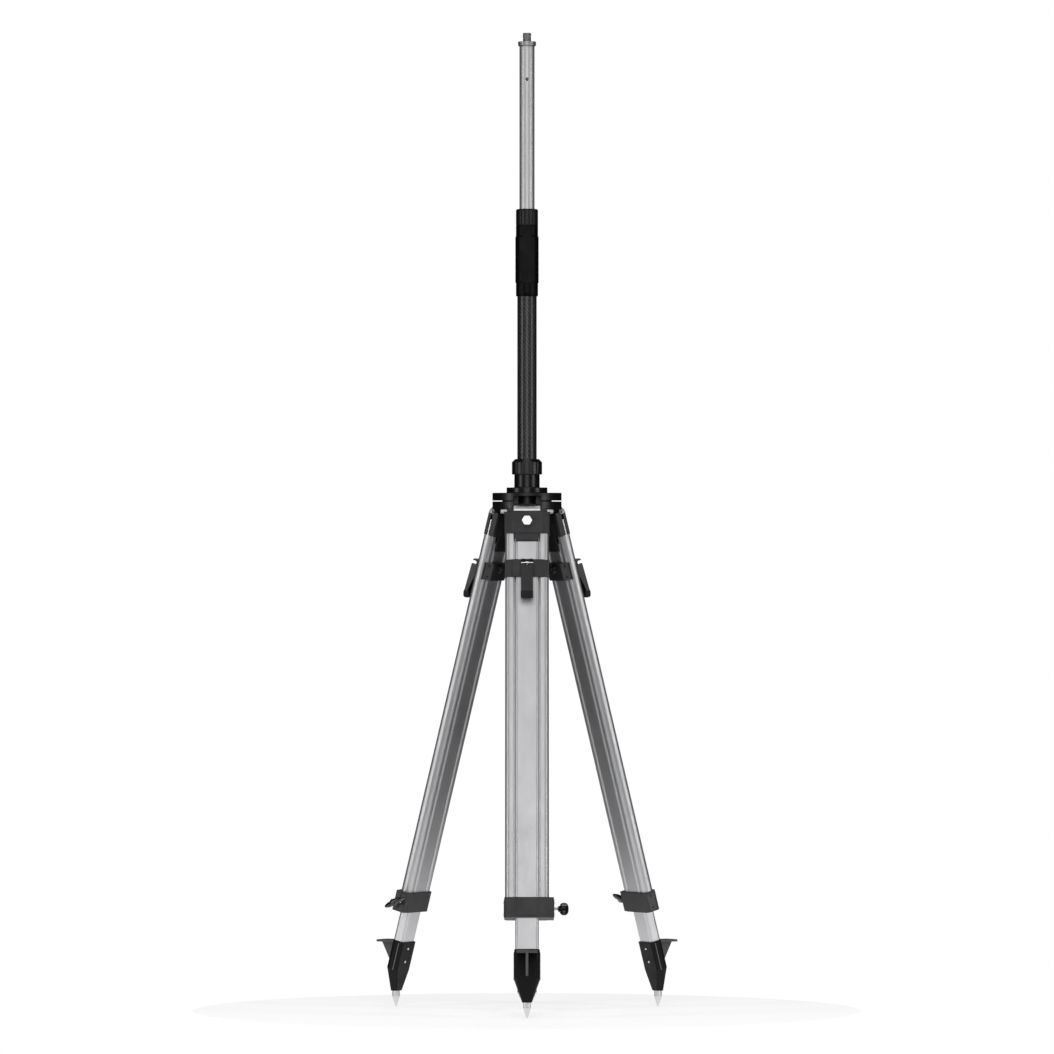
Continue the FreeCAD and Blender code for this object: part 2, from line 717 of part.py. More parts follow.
def jaw_inner():
    """Rear jaw of the sliding clamp, with the boss for the cam bolt's nut."""
    bottom = jaw_top + jaw_height
    jaw = down_prism([
        (-jaw_lip + 3, jaw_half_width, 0), (-jaw_side, jaw_half_width, 1.0),
        (jaw_back, jaw_back_flat, 0.8), (jaw_back, -jaw_back_flat, 0.8),
        (-jaw_side, -jaw_half_width, 1.0), (-jaw_lip + 3, -jaw_half_width, 0),
    ], jaw_top, bottom)
    boss = rod(jaw_boss_radius, at(jaw_back + 2, 0, -pivot_drop),
               at(jaw_back - jaw_boss_height, 0, -pivot_drop))
    jaw = jaw.fuse(boss)
    jaw = jaw.cut(rail_space(slide_gap, jaw_top - 1, bottom + 1))
    jaw = jaw.cut(down_prism(leg_corners(fit_gap), jaw_top - 1, bottom + 1))
    jaw = jaw.cut(box(-leg_depth / 2 + leg_corner, 20, -60, 60, -bottom - 1, -jaw_top + 1))
    return jaw.cut(cam_bolt_hole()).removeSplitter()


def jaw_plate():
    """Cover plate on one slanted face of the rear jaw, with its two countersinks."""
    run = jaw_half_width - jaw_back_flat
    rise = -jaw_side - jaw_back
    slant = math.hypot(run, rise)
    along = at(rise / slant, run / slant, 0)
    out = at(-run / slant, rise / slant, 0)
    start = at(jaw_back, jaw_back_flat, 0) + along * plate_margin
    end = at(-jaw_side, jaw_half_width, 0) - along * plate_margin
    low = at(0, 0, -jaw_top - jaw_height + 0.5)
    corners = [start + low, end + low, end + low + out * plate_thickness, start + low + out * plate_thickness]
    plate = Part.Face(Part.makePolygon(corners + corners[:1])).extrude(at(0, 0, jaw_height - 1.0))
    middle = (start + end) * 0.5
    for drop in (jaw_top + 6.0, jaw_top + jaw_height - 6.0):
        foot = middle + at(0, 0, -drop) - out
        plate = plate.cut(rod(plate_screw_radius, foot, foot + out * (plate_thickness + 2)))
    return plate


def cam_bolt():
    """T-shaped bolt: a cross pin for the lever, a shank through the leg and a nut behind."""
    pin = rod(pin_radius, at(pivot_reach, -pin_half, -pivot_drop), at(pivot_reach, pin_half, -pivot_drop))
    back = jaw_back - jaw_boss_height
    shank = rod(cam_bolt_radius, at(back - cam_nut_height, 0, -pivot_drop), at(pivot_reach, 0, -pivot_drop))
    nut = hex_rod(cam_nut_flats, at(back - cam_nut_height, 0, -pivot_drop), at(back, 0, -pivot_drop), Y)
    recess = rod(1.8, at(back - cam_nut_height - 1, 0, -pivot_drop), at(back - 1.4, 0, -pivot_drop))
    return fused([pin, shank, nut]).cut(recess)


def cam_lever():
    """Hooked lever forked over the bolt; its nose bears on the front jaw when closed."""
    face = pivot_reach + lever_face
    tip = face + lever_rake
    nose = jaw_front + 0.5
    end = pivot_drop + lever_length
    body = side_prism([
        (face, pivot_drop - 3.5, 3.0), (pivot_reach + 4.0, pivot_drop - 7.0, 2.5),
        (pivot_reach - 5.0, pivot_drop - 7.0, 2.0), (nose, pivot_drop - 1.2, 0.5),
        (nose, pivot_drop + 3.6, 0.8), (nose + 5.2, pivot_drop + 10.5, 3.0),
        (nose + 8.0, pivot_drop + 22.5, 12.0), (tip - 7.2, end - 13.5, 6.0),
        (tip - 11.4, end - 5.5, 2.0), (tip - 9.9, end, 2.0), (tip - 2.9, end, 4.0), (tip, end - 8.0, 5.0),
    ], -lever_half_width, lever_half_width)
    inner = lever_half_width - lever_wall
    channel = side_prism([
        (nose - 5.0, pivot_drop + 12.0, 0), (face - 2.4, pivot_drop + 12.0, 2.0),
        (tip - 3.4, end - 12.0, 2.0), (nose - 5.0, end - 12.0, 0),
    ], -inner, inner)
    body = body.cut(channel)
    slot = box(nose - 5, tip + 5, -lever_slot_half, lever_slot_half, -pivot_drop - 6.5, -pivot_drop + 20)
    body = body.cut(slot)
    seat = pin_radius + running_gap
    body = body.cut(rod(seat, at(pivot_reach, -20, -pivot_drop), at(pivot_reach, 20, -pivot_drop)))
    groove = box(pivot_reach, tip + 5, -20, 20, -pivot_drop - lever_groove_half,
                 -pivot_drop + lever_groove_half)
    return body.cut(groove)


def wing_stem():
    """Threaded stem that presses on the sliding leg's edge."""
    start = leg_half_width + slide_gap + 0.05
    stem = rod(stem_radius, at(0, start + 0.8, -wing_drop), at(0, stem_end, -wing_drop))
    point = Part.makeCone(stem_radius - 0.8, stem_radius, 0.8, at(0, start, -wing_drop), Y)
    return stem.fuse(point).removeSplitter()


def wing_knob():
    """Two-winged hand knob on the stem."""
    middle = (wing_start + wing_end) / 2
    half_axial = (wing_end - wing_start) / 2
    ellipse = Part.Ellipse(O, wing_reach, half_axial).toShape()
    blade = Part.Face(Part.Wire(ellipse)).extrude(at(0, 0, wing_thickness))
    blade.translate(at(0, 0, -wing_thickness / 2))
    blade = blade.makeChamfer(1.6, blade.Edges)
    blade.translate(at(0, middle, 0))
    hub = rod(wing_hub_radius, at(0, wing_hub_start, 0), at(0, wing_end - 0.6, 0))
    hub = hub.makeChamfer(0.8, [edge for edge in hub.Edges if edge.Closed])
    knob = blade.fuse(hub).cut(rod(stem_radius + fit_gap, O, at(0, stem_end + 0.1, 0)))
    knob.rotate(O, Y, -wing_turn)
    knob.translate(at(0, 0, -wing_drop))
    return knob.removeSplitter()


def foot_corners(front, back, half, front_corner, back_corner):
    return [
        (front, -half, front_corner), (front, half, front_corner),
        (back, half, back_corner), (back, -half, back_corner),
    ]


def foot_body():
    """Outer shape of the foot casting: a straight socket and a taper to the upright tip."""
    shape = foot_corners(foot_front, foot_back, foot_half_width, foot_front_corner, foot_back_corner)
    straight_end = foot_top + foot_straight
    straight = down_prism(shape, foot_top, straight_end)
    upper = outline(shape, lambda u, v: at(u, v, -straight_end))
    half_depth = foot_bottom_half_depth
    low_shape = foot_corners(half_depth, -half_depth, foot_bottom_half_width, 3.5, 1.5)
    middle = tip_reach - hinge_radius
    level = foot_bottom - hinge_height
    lower = outline(low_shape, lambda u, v: at(middle + u, v, level))
    lower.rotate(O, Y, splay)
    taper = Part.makeLoft([upper, lower], True, True)
    return straight.fuse(taper)


def foot():
    body = foot_body()
    body = body.cut(down_prism(leg_corners(running_gap), foot_top - 1, foot_top + leg_socket + running_gap))
    middle = tip_reach - hinge_radius
    level = foot_bottom - hinge_height
    socket = rod(tip_stud_radius + fit_gap, at(middle, 0, level - 1),
                 at(middle, 0, level + tip_stud_length + fit_gap))
    return body.cut(from_plumb(socket)).removeSplitter()


def foot_tip():
    """Steel spike, upright when the tripod stands."""
    middle = tip_reach - hinge_radius
    low = -hinge_height
    level = foot_bottom - hinge_height
    cone_top = level - tip_cylinder
    cone = Part.makeCone(tip_flat_radius, tip_radius, cone_top - low, at(middle, 0, low), Z)
    stud = rod(tip_stud_radius, at(middle, 0, level - 1), at(middle, 0, level + tip_stud_length))
    return from_plumb(fused([cone, rod(tip_radius, at(middle, 0, cone_top), at(middle, 0, level)), stud]))


def foot_step():
    """Tread plate in front of the foot, on one upright rib."""
    start = tip_reach - hinge_radius - 25.0
    top = step_top - hinge_height
    low = top - step_thickness
    plate = box(start, step_reach - hinge_radius, -step_half_width, step_half_width, low, top)
    edges = [e for e in plate.Edges
             if abs(e.CenterOfMass.x - (step_reach - hinge_radius)) < 0.01 and abs(e.tangentAt(0).z) > 0.9]
    plate = plate.makeFillet(4.0, edges)
    corners = [
        at(start, -step_rib_half, low + 0.5),
        at(step_rib_top_reach - hinge_radius, -step_rib_half, low + 0.5),
        at(step_rib_low_reach - hinge_radius, -step_rib_half, step_rib_low - hinge_height),
        at(start, -step_rib_half, step_rib_low - hinge_height),
    ]
    rib = Part.Face(Part.makePolygon(corners + corners[:1])).extrude(at(0, 2 * step_rib_half, 0))
    whole = from_plumb(plate.fuse(rib).removeSplitter())
    behind = box(-60, foot_front - 2.5, -60, 60, -1000, -foot_top + 60)
    return whole.cut(foot_body()).cut(behind)


# ---- assembly ------------------------------------------------------------------------------
def place_leg(shape, azimuth):
    placed = shape.copy()
    placed.rotate(O, Y, -splay)
    placed.translate(at(hinge_radius, 0, hinge_height))
    placed.rotate(O, Z, azimuth)
    return placed


def leg_pieces():
    plate = jaw_plate()
    return {
        "top_clamp_outer": [top_clamp_outer()],
        "top_clamp_inner": [top_clamp_inner()],
        "clamp_bolt": [clamp_bolt()],
        "leg_rails": leg_rails(),
        "lower_bracket": [lower_bracket()],
        "sliding_leg": [sliding_leg()],
        "jaw_outer": [jaw_outer()],
        "jaw_inner": [jaw_inner()],
        "jaw_plates": [plate, mirrored(plate)],
        "cam_bolt": [cam_bolt()],
        "cam_lever": [cam_lever()],
        "wing_stem": [wing_stem()],
        "wing_knob": [wing_knob()],
        "foot": [foot()],
        "foot_tip": [foot_tip()],
        "foot_step": [foot_step()],
    }


def save(name, solids):
    shape = solids[0] if len(solids) == 1 else Part.makeCompound(solids)
    for solid in shape.Solids:
        if not solid.isValid():
            print("not valid:", name)
    if len(shape.Solids) != len(solids):
        print("solids in", name, len(shape.Solids), "instead of", len(solids))
    if len(solids) == 1:
        shape = shape.Solids[0]
    shape.exportStep(os.path.join("parts", name + ".step"))


def main():
    os.makedirs("parts", exist_ok=True)
    save("tripod_head", [tripod_head()])
    shafts = []
    for azimuth in LEG_AZIMUTHS.values():
        shaft = hinge_shaft()
        shaft.rotate(O, Z, azimuth)
        shafts.append(shaft)
    save("hinge_shafts", shafts)
    for make in (pole_adapter, adapter_nut, collet_ring, collet_nut, outer_tube, pole_point,
                 grip, lock_collar, inner_tube, pole_cap):
        save(make.__name__, [make()])
    for side, azimuth in LEG_AZIMUTHS.items():
        for name, solids in leg_pieces().items():
            save(name + "_" + side, [place_leg(solid, azimuth) for solid in solids])


main()
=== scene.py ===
import json
import math

import bpy
from mathutils import Matrix, Vector

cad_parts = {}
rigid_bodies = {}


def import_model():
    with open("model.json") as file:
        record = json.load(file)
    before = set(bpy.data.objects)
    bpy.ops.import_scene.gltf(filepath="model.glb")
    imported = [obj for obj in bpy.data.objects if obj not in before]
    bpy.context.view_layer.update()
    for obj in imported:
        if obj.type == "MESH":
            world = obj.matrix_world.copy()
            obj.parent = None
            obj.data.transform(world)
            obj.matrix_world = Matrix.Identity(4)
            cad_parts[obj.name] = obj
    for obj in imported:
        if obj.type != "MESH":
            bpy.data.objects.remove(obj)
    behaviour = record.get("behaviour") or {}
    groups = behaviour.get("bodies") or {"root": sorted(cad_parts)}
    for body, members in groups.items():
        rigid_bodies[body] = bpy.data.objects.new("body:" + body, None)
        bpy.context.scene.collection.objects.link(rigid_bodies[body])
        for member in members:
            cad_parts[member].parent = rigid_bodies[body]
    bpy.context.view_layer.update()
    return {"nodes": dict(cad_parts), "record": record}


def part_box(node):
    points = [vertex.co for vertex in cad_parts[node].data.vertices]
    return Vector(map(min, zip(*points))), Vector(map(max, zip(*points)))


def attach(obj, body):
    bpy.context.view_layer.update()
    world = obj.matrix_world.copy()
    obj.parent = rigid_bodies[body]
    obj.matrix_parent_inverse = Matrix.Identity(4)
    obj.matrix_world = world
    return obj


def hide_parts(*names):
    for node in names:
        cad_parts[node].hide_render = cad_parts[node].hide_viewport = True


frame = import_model()
record = frame["record"]
nodes = frame["nodes"]
joints = {joint["name"]: joint for joint in record["behaviour"]["joints"]}
stud_mount = record["mounts"][0]
SIDES = ("front", "right", "left")
MM = 0.001

# ---- sizes of the small pieces, in millimetres and degrees -----------------------------------
# pole cap and antenna stud
CAP_HEIGHT = 9.3
CAP_BORE = 12.5
THREAD_DEPTH = 0.95
THREAD_PITCH = 25.4 / 11

# dark disc in the preset hole, painted shade inside the hole: its depth under the cap, and the radius of the
# tube that it sits in
PRESET_DROP = 61.3
INNER_TUBE_RADIUS = 14.0

# grip sleeve, its flat front panel and the finger ridges at its back
GRIP_BORE = 18.0
GRIP_SWELL = 1.15
GRIP_NECK = 22.0
GRIP_EASE = 1.2
GRIP_LOW_ROUND = 1.3
GRIP_TOP_ROUND = 1.4
PANEL_START = 24.6
PANEL_REACH = 18.9
RIDGE_PITCH = 7.0
RIDGE_DEPTH = 0.45
RIDGE_SWEEP = 1.15  # radians to each side of the back

# hinge shafts, and the cover plates of the clamps
SHAFT_REACH = 6.7
PLATE_BACK_CORNER = (-19.0, 25.0)
PLATE_SIDE_CORNER = (-8.6, 39.2)
PLATE_THICKNESS = 1.75
PLATE_SCREW_INSET = 5.5
BRACKET_PLATE_INSET = 4.0
BRACKET_SCREW_INSET = 4.2
SCREW_WINDOW = 4.4

# foot casting: its faces, and how far under its mouth the rivets, ribs and flutes are
FOOT_FRONT = 12.3
FOOT_BACK = -13.2
FOOT_HALF_WIDTH = 23.5
RIVET_DROPS = (12.5, 38.0)
RIB_DROP = 29.0
FLUTE_DROP = 31.0
FLUTES = 9
FLUTE_PITCH = 3.1
FLUTE_GAP = 2.6

# wing screw and knob, and the rubber sleeve on the cam lever
STEM_THREAD_DEPTH = 0.55
STEM_PITCH = 1.25
WING_REACH = 22.0
WING_TURN = -40.8
SLEEVE_LIP = 0.35

WHITE = (1.0, 1.0, 1.0, 1.0)


# ---- places on the tripod ------------------------------------------------------------------
def leg_frame(side):
    """Matrix from a leg's own millimetres (out of its face, across, up the leg) to the row frame."""
    fold = joints["leg_fold_" + side]
    across = -Vector(fold["axis"]).normalized()
    up = -Vector(joints["leg_slide_" + side]["axis"]).normalized()
    out = across.cross(up).normalized()
    turn = Matrix((out, across, up)).transposed().to_4x4()
    return Matrix.Translation(Vector(fold["pos_m"])) @ turn @ Matrix.Scale(MM, 4)


LEG = {side: leg_frame(side) for side in SIDES}
POLE = Matrix.Scale(MM, 4)


def leg_span(side, node, axis):
    """Lowest and highest place of a node's points along one axis of its leg, in millimetres."""
    back = LEG[side].inverted()
    places = [(back @ vertex.co)[axis] for vertex in nodes[node].data.vertices]
    return min(places), max(places)


# ---- mesh helpers --------------------------------------------------------------------------
def add_piece(name, points, faces, place, finish, body, slot, smooth=35.0):
    """A mesh object at the origin, with its place in its points."""
    mesh = bpy.data.meshes.new(name)
    mesh.from_pydata([tuple(place @ Vector(point)) for point in points], [], faces)
    mesh.validate()
    mesh.update()
    piece = bpy.data.objects.new(name, mesh)
    bpy.context.collection.objects.link(piece)
    finish_piece(piece, finish, body, smooth)
    return piece


def finish_piece(piece, finish, body, smooth=35.0):
    """One finish, smooth faces up to an angle in degrees, and the piece's body."""
    piece.data.materials.clear()
    piece.data.materials.append(finish)
    piece.data.polygons.foreach_set("material_index", [0] * len(piece.data.polygons))
    piece.data.polygons.foreach_set("use_smooth", [True] * len(piece.data.polygons))
    piece.data.set_sharp_from_angle(angle=math.radians(smooth))
    piece.data.update()
    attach(piece, body)


def grid_shell(rows, closed_ends=True):
    """Points and outward faces of a shell from rings of points, each ring going anticlockwise from above."""
    count = len(rows[0])
    points = [point for row in rows for point in row]
    faces = []
    for j in range(len(rows) - 1):
        for i in range(count):
            k = (i + 1) % count
            faces.append((j * count + i, j * count + k, (j + 1) * count + k, (j + 1) * count + i))
    if closed_ends:
        faces.append(tuple(reversed(range(count))))
        last = (len(rows) - 1) * count
        faces.append(tuple(last + i for i in range(count)))
    return points, faces


def loop_shell(rows):
    """Points and faces of a ring-shaped piece: rows as in grid_shell, the last row joined to the first."""
    points, faces = grid_shell(rows, closed_ends=False)
    count = len(rows[0])
    last = (len(rows) - 1) * count
    for i in range(count):
        k = (i + 1) % count
        faces.append((last + i, last + k, k, i))
    return points, faces


def lathe_rows(profile, segments=96):
    """Rings about Z from (radius, height) pairs that go upwards on the outside."""
    turns = [2 * math.pi * i / segments for i in range(segments)]
    return [[(r * math.cos(t), r * math.sin(t), z) for t in turns] for r, z in profile]


def thread_rows(radius, depth, pitch, start, end, segments=48, steps=10):
    """Rings of a screw thread about Z with rounded crests, fading out at both ends."""
    count = int((end - start) / pitch * steps)
    rows = []
    for j in range(count + 1):
        z = start + (end - start) * j / count
        fade = min(1.0, j / steps, (count - j) / steps)
        row = []
        for i in range(segments):
            turn = 2 * math.pi * i / segments
            phase = (z / pitch - i / segments) % 1.0
            flank = abs(2.0 * phase - 1.0)
            crest = min(1.0, max(0.0, flank * 1.35 - 0.15))
            r = radius - depth * (1.0 - crest) * (0.4 + 0.6 * fade)
            row.append((r * math.cos(turn), r * math.sin(turn), z))
        rows.append(row)
    return rows


def strip(corners, low, high, bevel, axis):
    """A bevelled bar from a flat outline, going along axis from low to high."""
    centre = [sum(c[i] for c in corners) / len(corners) for i in range(2)]
    rows = []
    for level, inset in ((low, bevel), (low + bevel, 0.0), (high - bevel, 0.0), (high, bevel)):
        row = []
        for u, v in corners:
            away = math.hypot(u - centre[0], v - centre[1])
            share = 1.0 - inset / away
            u2 = centre[0] + (u - centre[0]) * share
            v2 = centre[1] + (v - centre[1]) * share
            row.append({0: (level, u2, v2), 1: (v2, level, u2), 2: (u2, v2, level)}[axis])
        rows.append(row)
    return grid_shell(rows)


def join(parts):
    """One list of points and faces from several."""
    points, faces = [], []
    for more_points, more_faces in parts:
        start = len(points)
        points += more_points
        faces += [tuple(start + i for i in face) for face in more_faces]
    return points, faces


def moved(part, matrix):
    """Points and faces with the points moved by a matrix."""
    points, faces = part
    return [tuple(matrix @ Vector(point)) for point in points], faces


# ---- finishes ------------------------------------------------------------------------------
class Finish:
    """A procedural material under construction."""

    def __init__(self, name):
        self.material = bpy.data.materials.new(name)
        self.material.use_nodes = True
        self.tree = self.material.node_tree
        self.shader = self.tree.nodes["Principled BSDF"]
        self.place = self.node("ShaderNodeTexCoord").outputs["Object"]

    def node(self, kind, **settings):
        made = self.tree.nodes.new(kind)
        for key, value in settings.items():
            setattr(made, key, value)
        return made

    def wire(self, source, target):
        self.tree.links.new(source, target)

    def feed(self, made, **inputs):
        for key, value in inputs.items():
            socket = made.inputs[key.replace("_", " ")]
            if isinstance(value, bpy.types.NodeSocket):
                self.wire(value, socket)
            else:
                socket.default_value = value
        return made

    def math(self, operation, one, two=0.0, three=0.0):
        made = self.node("ShaderNodeMath", operation=operation)
        for socket, value in zip(made.inputs, (one, two, three)):
            if isinstance(value, bpy.types.NodeSocket):
                self.wire(value, socket)
            else:
                socket.default_value = value
        return made.outputs[0]

    def along(self, direction):
        made = self.node("ShaderNodeVectorMath", operation="DOT_PRODUCT")
        self.wire(self.place, made.inputs[0])
        made.inputs[1].default_value = tuple(direction)
        return made.outputs["Value"]

    def noise(self, where, scale, detail=3.0, roughness=0.55):
        made = self.node("ShaderNodeTexNoise")
        self.feed(made, Vector=where, Scale=scale, Detail=detail, Roughness=roughness)
        return made.outputs["Fac"]

    def ramp(self, value, low, high, out_low, out_high):
        made = self.node("ShaderNodeMapRange")
        self.feed(made, Value=value)
        limits = {"From Min": low, "From Max": high, "To Min": out_low, "To Max": out_high}
        for name, number in limits.items():
            made.inputs[name].default_value = number
        return made.outputs["Result"]

    def blend(self, share, one, two):
        made = self.node("ShaderNodeMix", data_type="RGBA")
        self.wire(share, made.inputs["Factor"])
        for index, value in ((6, one), (7, two)):
            if isinstance(value, bpy.types.NodeSocket):
                self.wire(value, made.inputs[index])
            else:
                made.inputs[index].default_value = (*value, 1.0)
        return made.outputs[2]

    def edges(self, radius):
        """Rounded normals, and how strongly a point lies on an edge."""
        bevel = self.node("ShaderNodeBevel", samples=6)
        bevel.inputs["Radius"].default_value = radius
        geometry = self.node("ShaderNodeNewGeometry")
        dot = self.node("ShaderNodeVectorMath", operation="DOT_PRODUCT")
        self.wire(bevel.outputs[0], dot.inputs[0])
        self.wire(geometry.outputs["Normal"], dot.inputs[1])
        return bevel.outputs[0], self.ramp(dot.outputs["Value"], 0.995, 0.86, 0.0, 1.0)

    def bump(self, height, distance, strength, normal=None):
        made = self.node("ShaderNodeBump")
        self.feed(made, Height=height, Distance=distance, Strength=strength)
        if normal is not None:
            self.wire(normal, made.inputs["Normal"])
        self.wire(made.outputs[0], self.shader.inputs["Normal"])

    def surface(self, color, roughness, **constants):
        if isinstance(color, bpy.types.NodeSocket):
            self.wire(color, self.shader.inputs["Base Color"])
        else:
            self.shader.inputs["Base Color"].default_value = (*color, 1.0)
        if isinstance(roughness, bpy.types.NodeSocket):
            self.wire(roughness, self.shader.inputs["Roughness"])
        else:
            self.shader.inputs["Roughness"].default_value = roughness
        for key, value in constants.items():
            self.shader.inputs[key.replace("_", " ")].default_value = value
        return self.material


def grey(value):
    """A neutral colour with a touch more blue."""
    return (value, value, value * 1.02)


def powder_coat(name, tone, roughness=0.46, edge=0.0007, wear_and_highlight=1.9, gloss=0.5):
    """Dark stoved coat on a casting: fine orange peel, cloudy gloss, and patchy paler edges that are partly
    wear and partly a painted highlight.
    """
    f = Finish(name)
    normal, edge_share = f.edges(edge)
    peel = f.noise(f.place, 1500.0, 2.0)
    cloud = f.noise(f.place, 38.0, 4.0)
    coat = f.blend(cloud, grey(tone * 0.9), grey(tone * 1.12))
    # paler colour on the edges: partly edge wear, partly a painted highlight along the edges
    patchy = f.math("MULTIPLY", edge_share, f.ramp(f.noise(f.place, 160.0), 0.35, 0.65, 0.45, 1.0))
    color = f.blend(patchy, coat, grey(tone * wear_and_highlight))
    f.bump(peel, 0.00012, 0.35, normal)
    return f.surface(color, f.ramp(cloud, 0.3, 0.7, roughness - 0.05, roughness + 0.06),
                     Specular_IOR_Level=gloss)


def moulded(name, tone, roughness=0.42, grain=2200.0, depth=0.25, edge=0.0006, coat=0.0):
    """Moulded plastic: spark-eroded grain, faint flow marks, softened edges and a painted highlight along
    them.
    """
    f = Finish(name)
    normal, edge_share = f.edges(edge)
    pits = f.noise(f.place, grain, 2.0, 0.6)
    flow = f.noise(f.place, 22.0, 3.0)
    color = f.blend(flow, grey(tone * 0.88), grey(tone * 1.15))
    # paler colour along the edges: painted highlight
    color = f.blend(edge_share, color, grey(tone * 1.35))
    f.bump(pits, 0.0001, depth, normal)
    return f.surface(color, f.ramp(flow, 0.3, 0.7, roughness - 0.04, roughness + 0.05), Coat_Weight=coat)


def brushed(name, tone, roughness, direction, lines=2600.0, edge=0.0004, variation=0.07, metallic=1.0,
            depth=0.12, edge_highlight_gain=0.5):
    """Bare metal with fine lines along one direction, light handling marks, a softened edge and a painted
    highlight along it.
    """
    f = Finish(name)
    lengthwise = Vector(direction).normalized()
    across = lengthwise.orthogonal().normalized()
    other = lengthwise.cross(across)
    where = f.node("ShaderNodeCombineXYZ")
    f.wire(f.math("MULTIPLY", f.along(lengthwise), 0.012), where.inputs[0])
    f.wire(f.along(across), where.inputs[1])
    f.wire(f.along(other), where.inputs[2])
    grain = f.noise(where.outputs[0], lines, 2.0)
    handling = f.noise(f.place, 14.0, 5.0, 0.62)
    normal, edge_share = f.edges(edge)
    color = f.blend(grain, grey(tone * (1 - variation)), grey(tone * (1 + variation * 0.6)))
    color = f.blend(f.ramp(handling, 0.35, 0.75, 0.0, 0.5), color, grey(tone * 0.92))
    # paler colour along the edge: painted highlight
    color = f.blend(f.math("MULTIPLY", edge_share, edge_highlight_gain), color, grey(min(0.95, tone * 1.25)))
    rough = f.math("ADD", f.ramp(grain, 0.3, 0.7, roughness - 0.05, roughness + 0.05),
                   f.ramp(handling, 0.3, 0.8, -0.02, 0.05))
    f.bump(grain, 0.00003, depth, normal)
    return f.surface(color, rough, Metallic=metallic)


def carbon_twill(name):
    """Two-by-two twill of carbon tows wound on the tube, under clear resin, with a painted sheen on the warp
    tows.
    """
    f = Finish(name)
    tow = 0.0020
    radius = 0.018
    strands = 7
    split = f.node("ShaderNodeSeparateXYZ")
    f.wire(f.place, split.inputs[0])
    x, y, z = split.outputs
    round_tows = round(2 * math.pi * radius / tow / 4) * 4
    around = f.math("MULTIPLY", f.math("ARCTAN2", y, x), round_tows / (2 * math.pi))
    up = f.math("MULTIPLY", z, 1.0 / tow)
    step = f.math("FLOORED_MODULO", f.math("ADD", f.math("FLOOR", around), f.math("FLOOR", up)), 4.0)
    over = f.math("LESS_THAN", step, 1.5)
    part_around = f.math("SUBTRACT", f.math("FRACT", around), 0.5)
    part_up = f.math("SUBTRACT", f.math("FRACT", up), 0.5)
    strand_warp = f.math("SINE", f.math("MULTIPLY", around, 2 * math.pi * strands))
    strand_weft = f.math("SINE", f.math("MULTIPLY", up, 2 * math.pi * strands))
    crown_warp = f.math("SUBTRACT", 0.25, f.math("MULTIPLY", part_around, part_around))
    crown_weft = f.math("SUBTRACT", 0.25, f.math("MULTIPLY", part_up, part_up))
    choose = f.node("ShaderNodeMix", data_type="FLOAT")
    f.wire(over, choose.inputs["Factor"])
    f.wire(f.math("MULTIPLY_ADD", strand_weft, 0.018, crown_weft), choose.inputs[2])
    f.wire(f.math("MULTIPLY_ADD", strand_warp, 0.018, crown_warp), choose.inputs[3])
    height = choose.outputs[0]
    blotch = f.noise(f.place, 90.0, 3.0)
    # warp tows painted lighter than the weft: painted sheen where the fibres catch the light; the blotches
    # are random mottling
    warp_painted_sheen = f.blend(blotch, grey(0.020), grey(0.062))
    weft_tone = f.blend(blotch, grey(0.004), grey(0.01))
    color = f.blend(over, weft_tone, warp_painted_sheen)
    f.bump(height, 0.0012, 0.55)
    return f.surface(color, f.ramp(height, 0.0, 0.25, 0.5, 0.28), Coat_Weight=0.55, Coat_Roughness=0.12)


def rubber(name, tone=0.012, roughness=0.62, gloss=0.5):
    """Soft rubber: matt grain, a cloudy bloom and a painted highlight along the edges."""
    f = Finish(name)
    normal, edge_share = f.edges(0.0006)
    grain = f.noise(f.place, 3000.0, 2.0, 0.7)
    bloom = f.noise(f.place, 45.0, 4.0)
    color = f.blend(bloom, grey(tone * 0.8), grey(tone * 1.4))
    # paler colour along the edges: painted highlight
    color = f.blend(edge_share, color, grey(tone * 1.9))
    f.bump(grain, 0.0001, 0.4, normal)
    return f.surface(color, f.ramp(bloom, 0.3, 0.7, roughness - 0.06, roughness + 0.08),
                     Specular_IOR_Level=gloss)


casting_coat = powder_coat("casting_powder_coat", 0.012, roughness=0.5, wear_and_highlight=2.6, gloss=0.85)
head_coat = powder_coat("head_anodised_black", 0.008, roughness=0.33, wear_and_highlight=2.6)
adapter_coat = powder_coat("adapter_anodised_black", 0.007, roughness=0.28, edge=0.0005, wear_and_highlight=2.8)
foot_coat = powder_coat("foot_casting_coat", 0.003, roughness=0.5, wear_and_highlight=3.0, gloss=0.2)
# pale grey coat for the foot's side ribs, far lighter than the black foot, with paler edges again
rib_coat = powder_coat("rib_pale_coat", 0.12, roughness=0.34, wear_and_highlight=1.8)
nut_plastic = moulded("collet_nut_plastic", 0.008, roughness=0.32)
grip_plastic = rubber("grip_soft_black", tone=0.003, roughness=0.42, gloss=0.16)
collar_plastic = moulded("lock_collar_plastic", 0.007, roughness=0.42)
lever_plastic = moulded("lever_plastic", 0.012, roughness=0.36)
lever_rubber = rubber("lever_tip_rubber", tone=0.008)
knob_plastic = moulded("knob_plastic", 0.011, roughness=0.22, depth=0.1, coat=0.3)
collet_nylon = moulded("collet_nylon", 0.03, roughness=0.5)
plate_plastic = moulded("cover_plate_grey", 0.08, roughness=0.5, grain=1500.0)
tread_coat = powder_coat("tread_pale_coat", 0.08, roughness=0.5, wear_and_highlight=1.4)
screw_steel = brushed("screw_black_steel", 0.06, 0.38, (0, 0, 1), lines=900.0, metallic=0.6)
rivet_steel = brushed("rivet_bright", 0.85, 0.25, (0, 0, 1), lines=900.0)
shaft_steel = brushed("shaft_bright", 0.9, 0.42, (1, 0.3, 0), lines=1400.0, variation=0.03, depth=0.04)
bolt_steel = brushed("bolt_bright", 0.9, 0.3, (0, 1, 0), lines=1200.0)
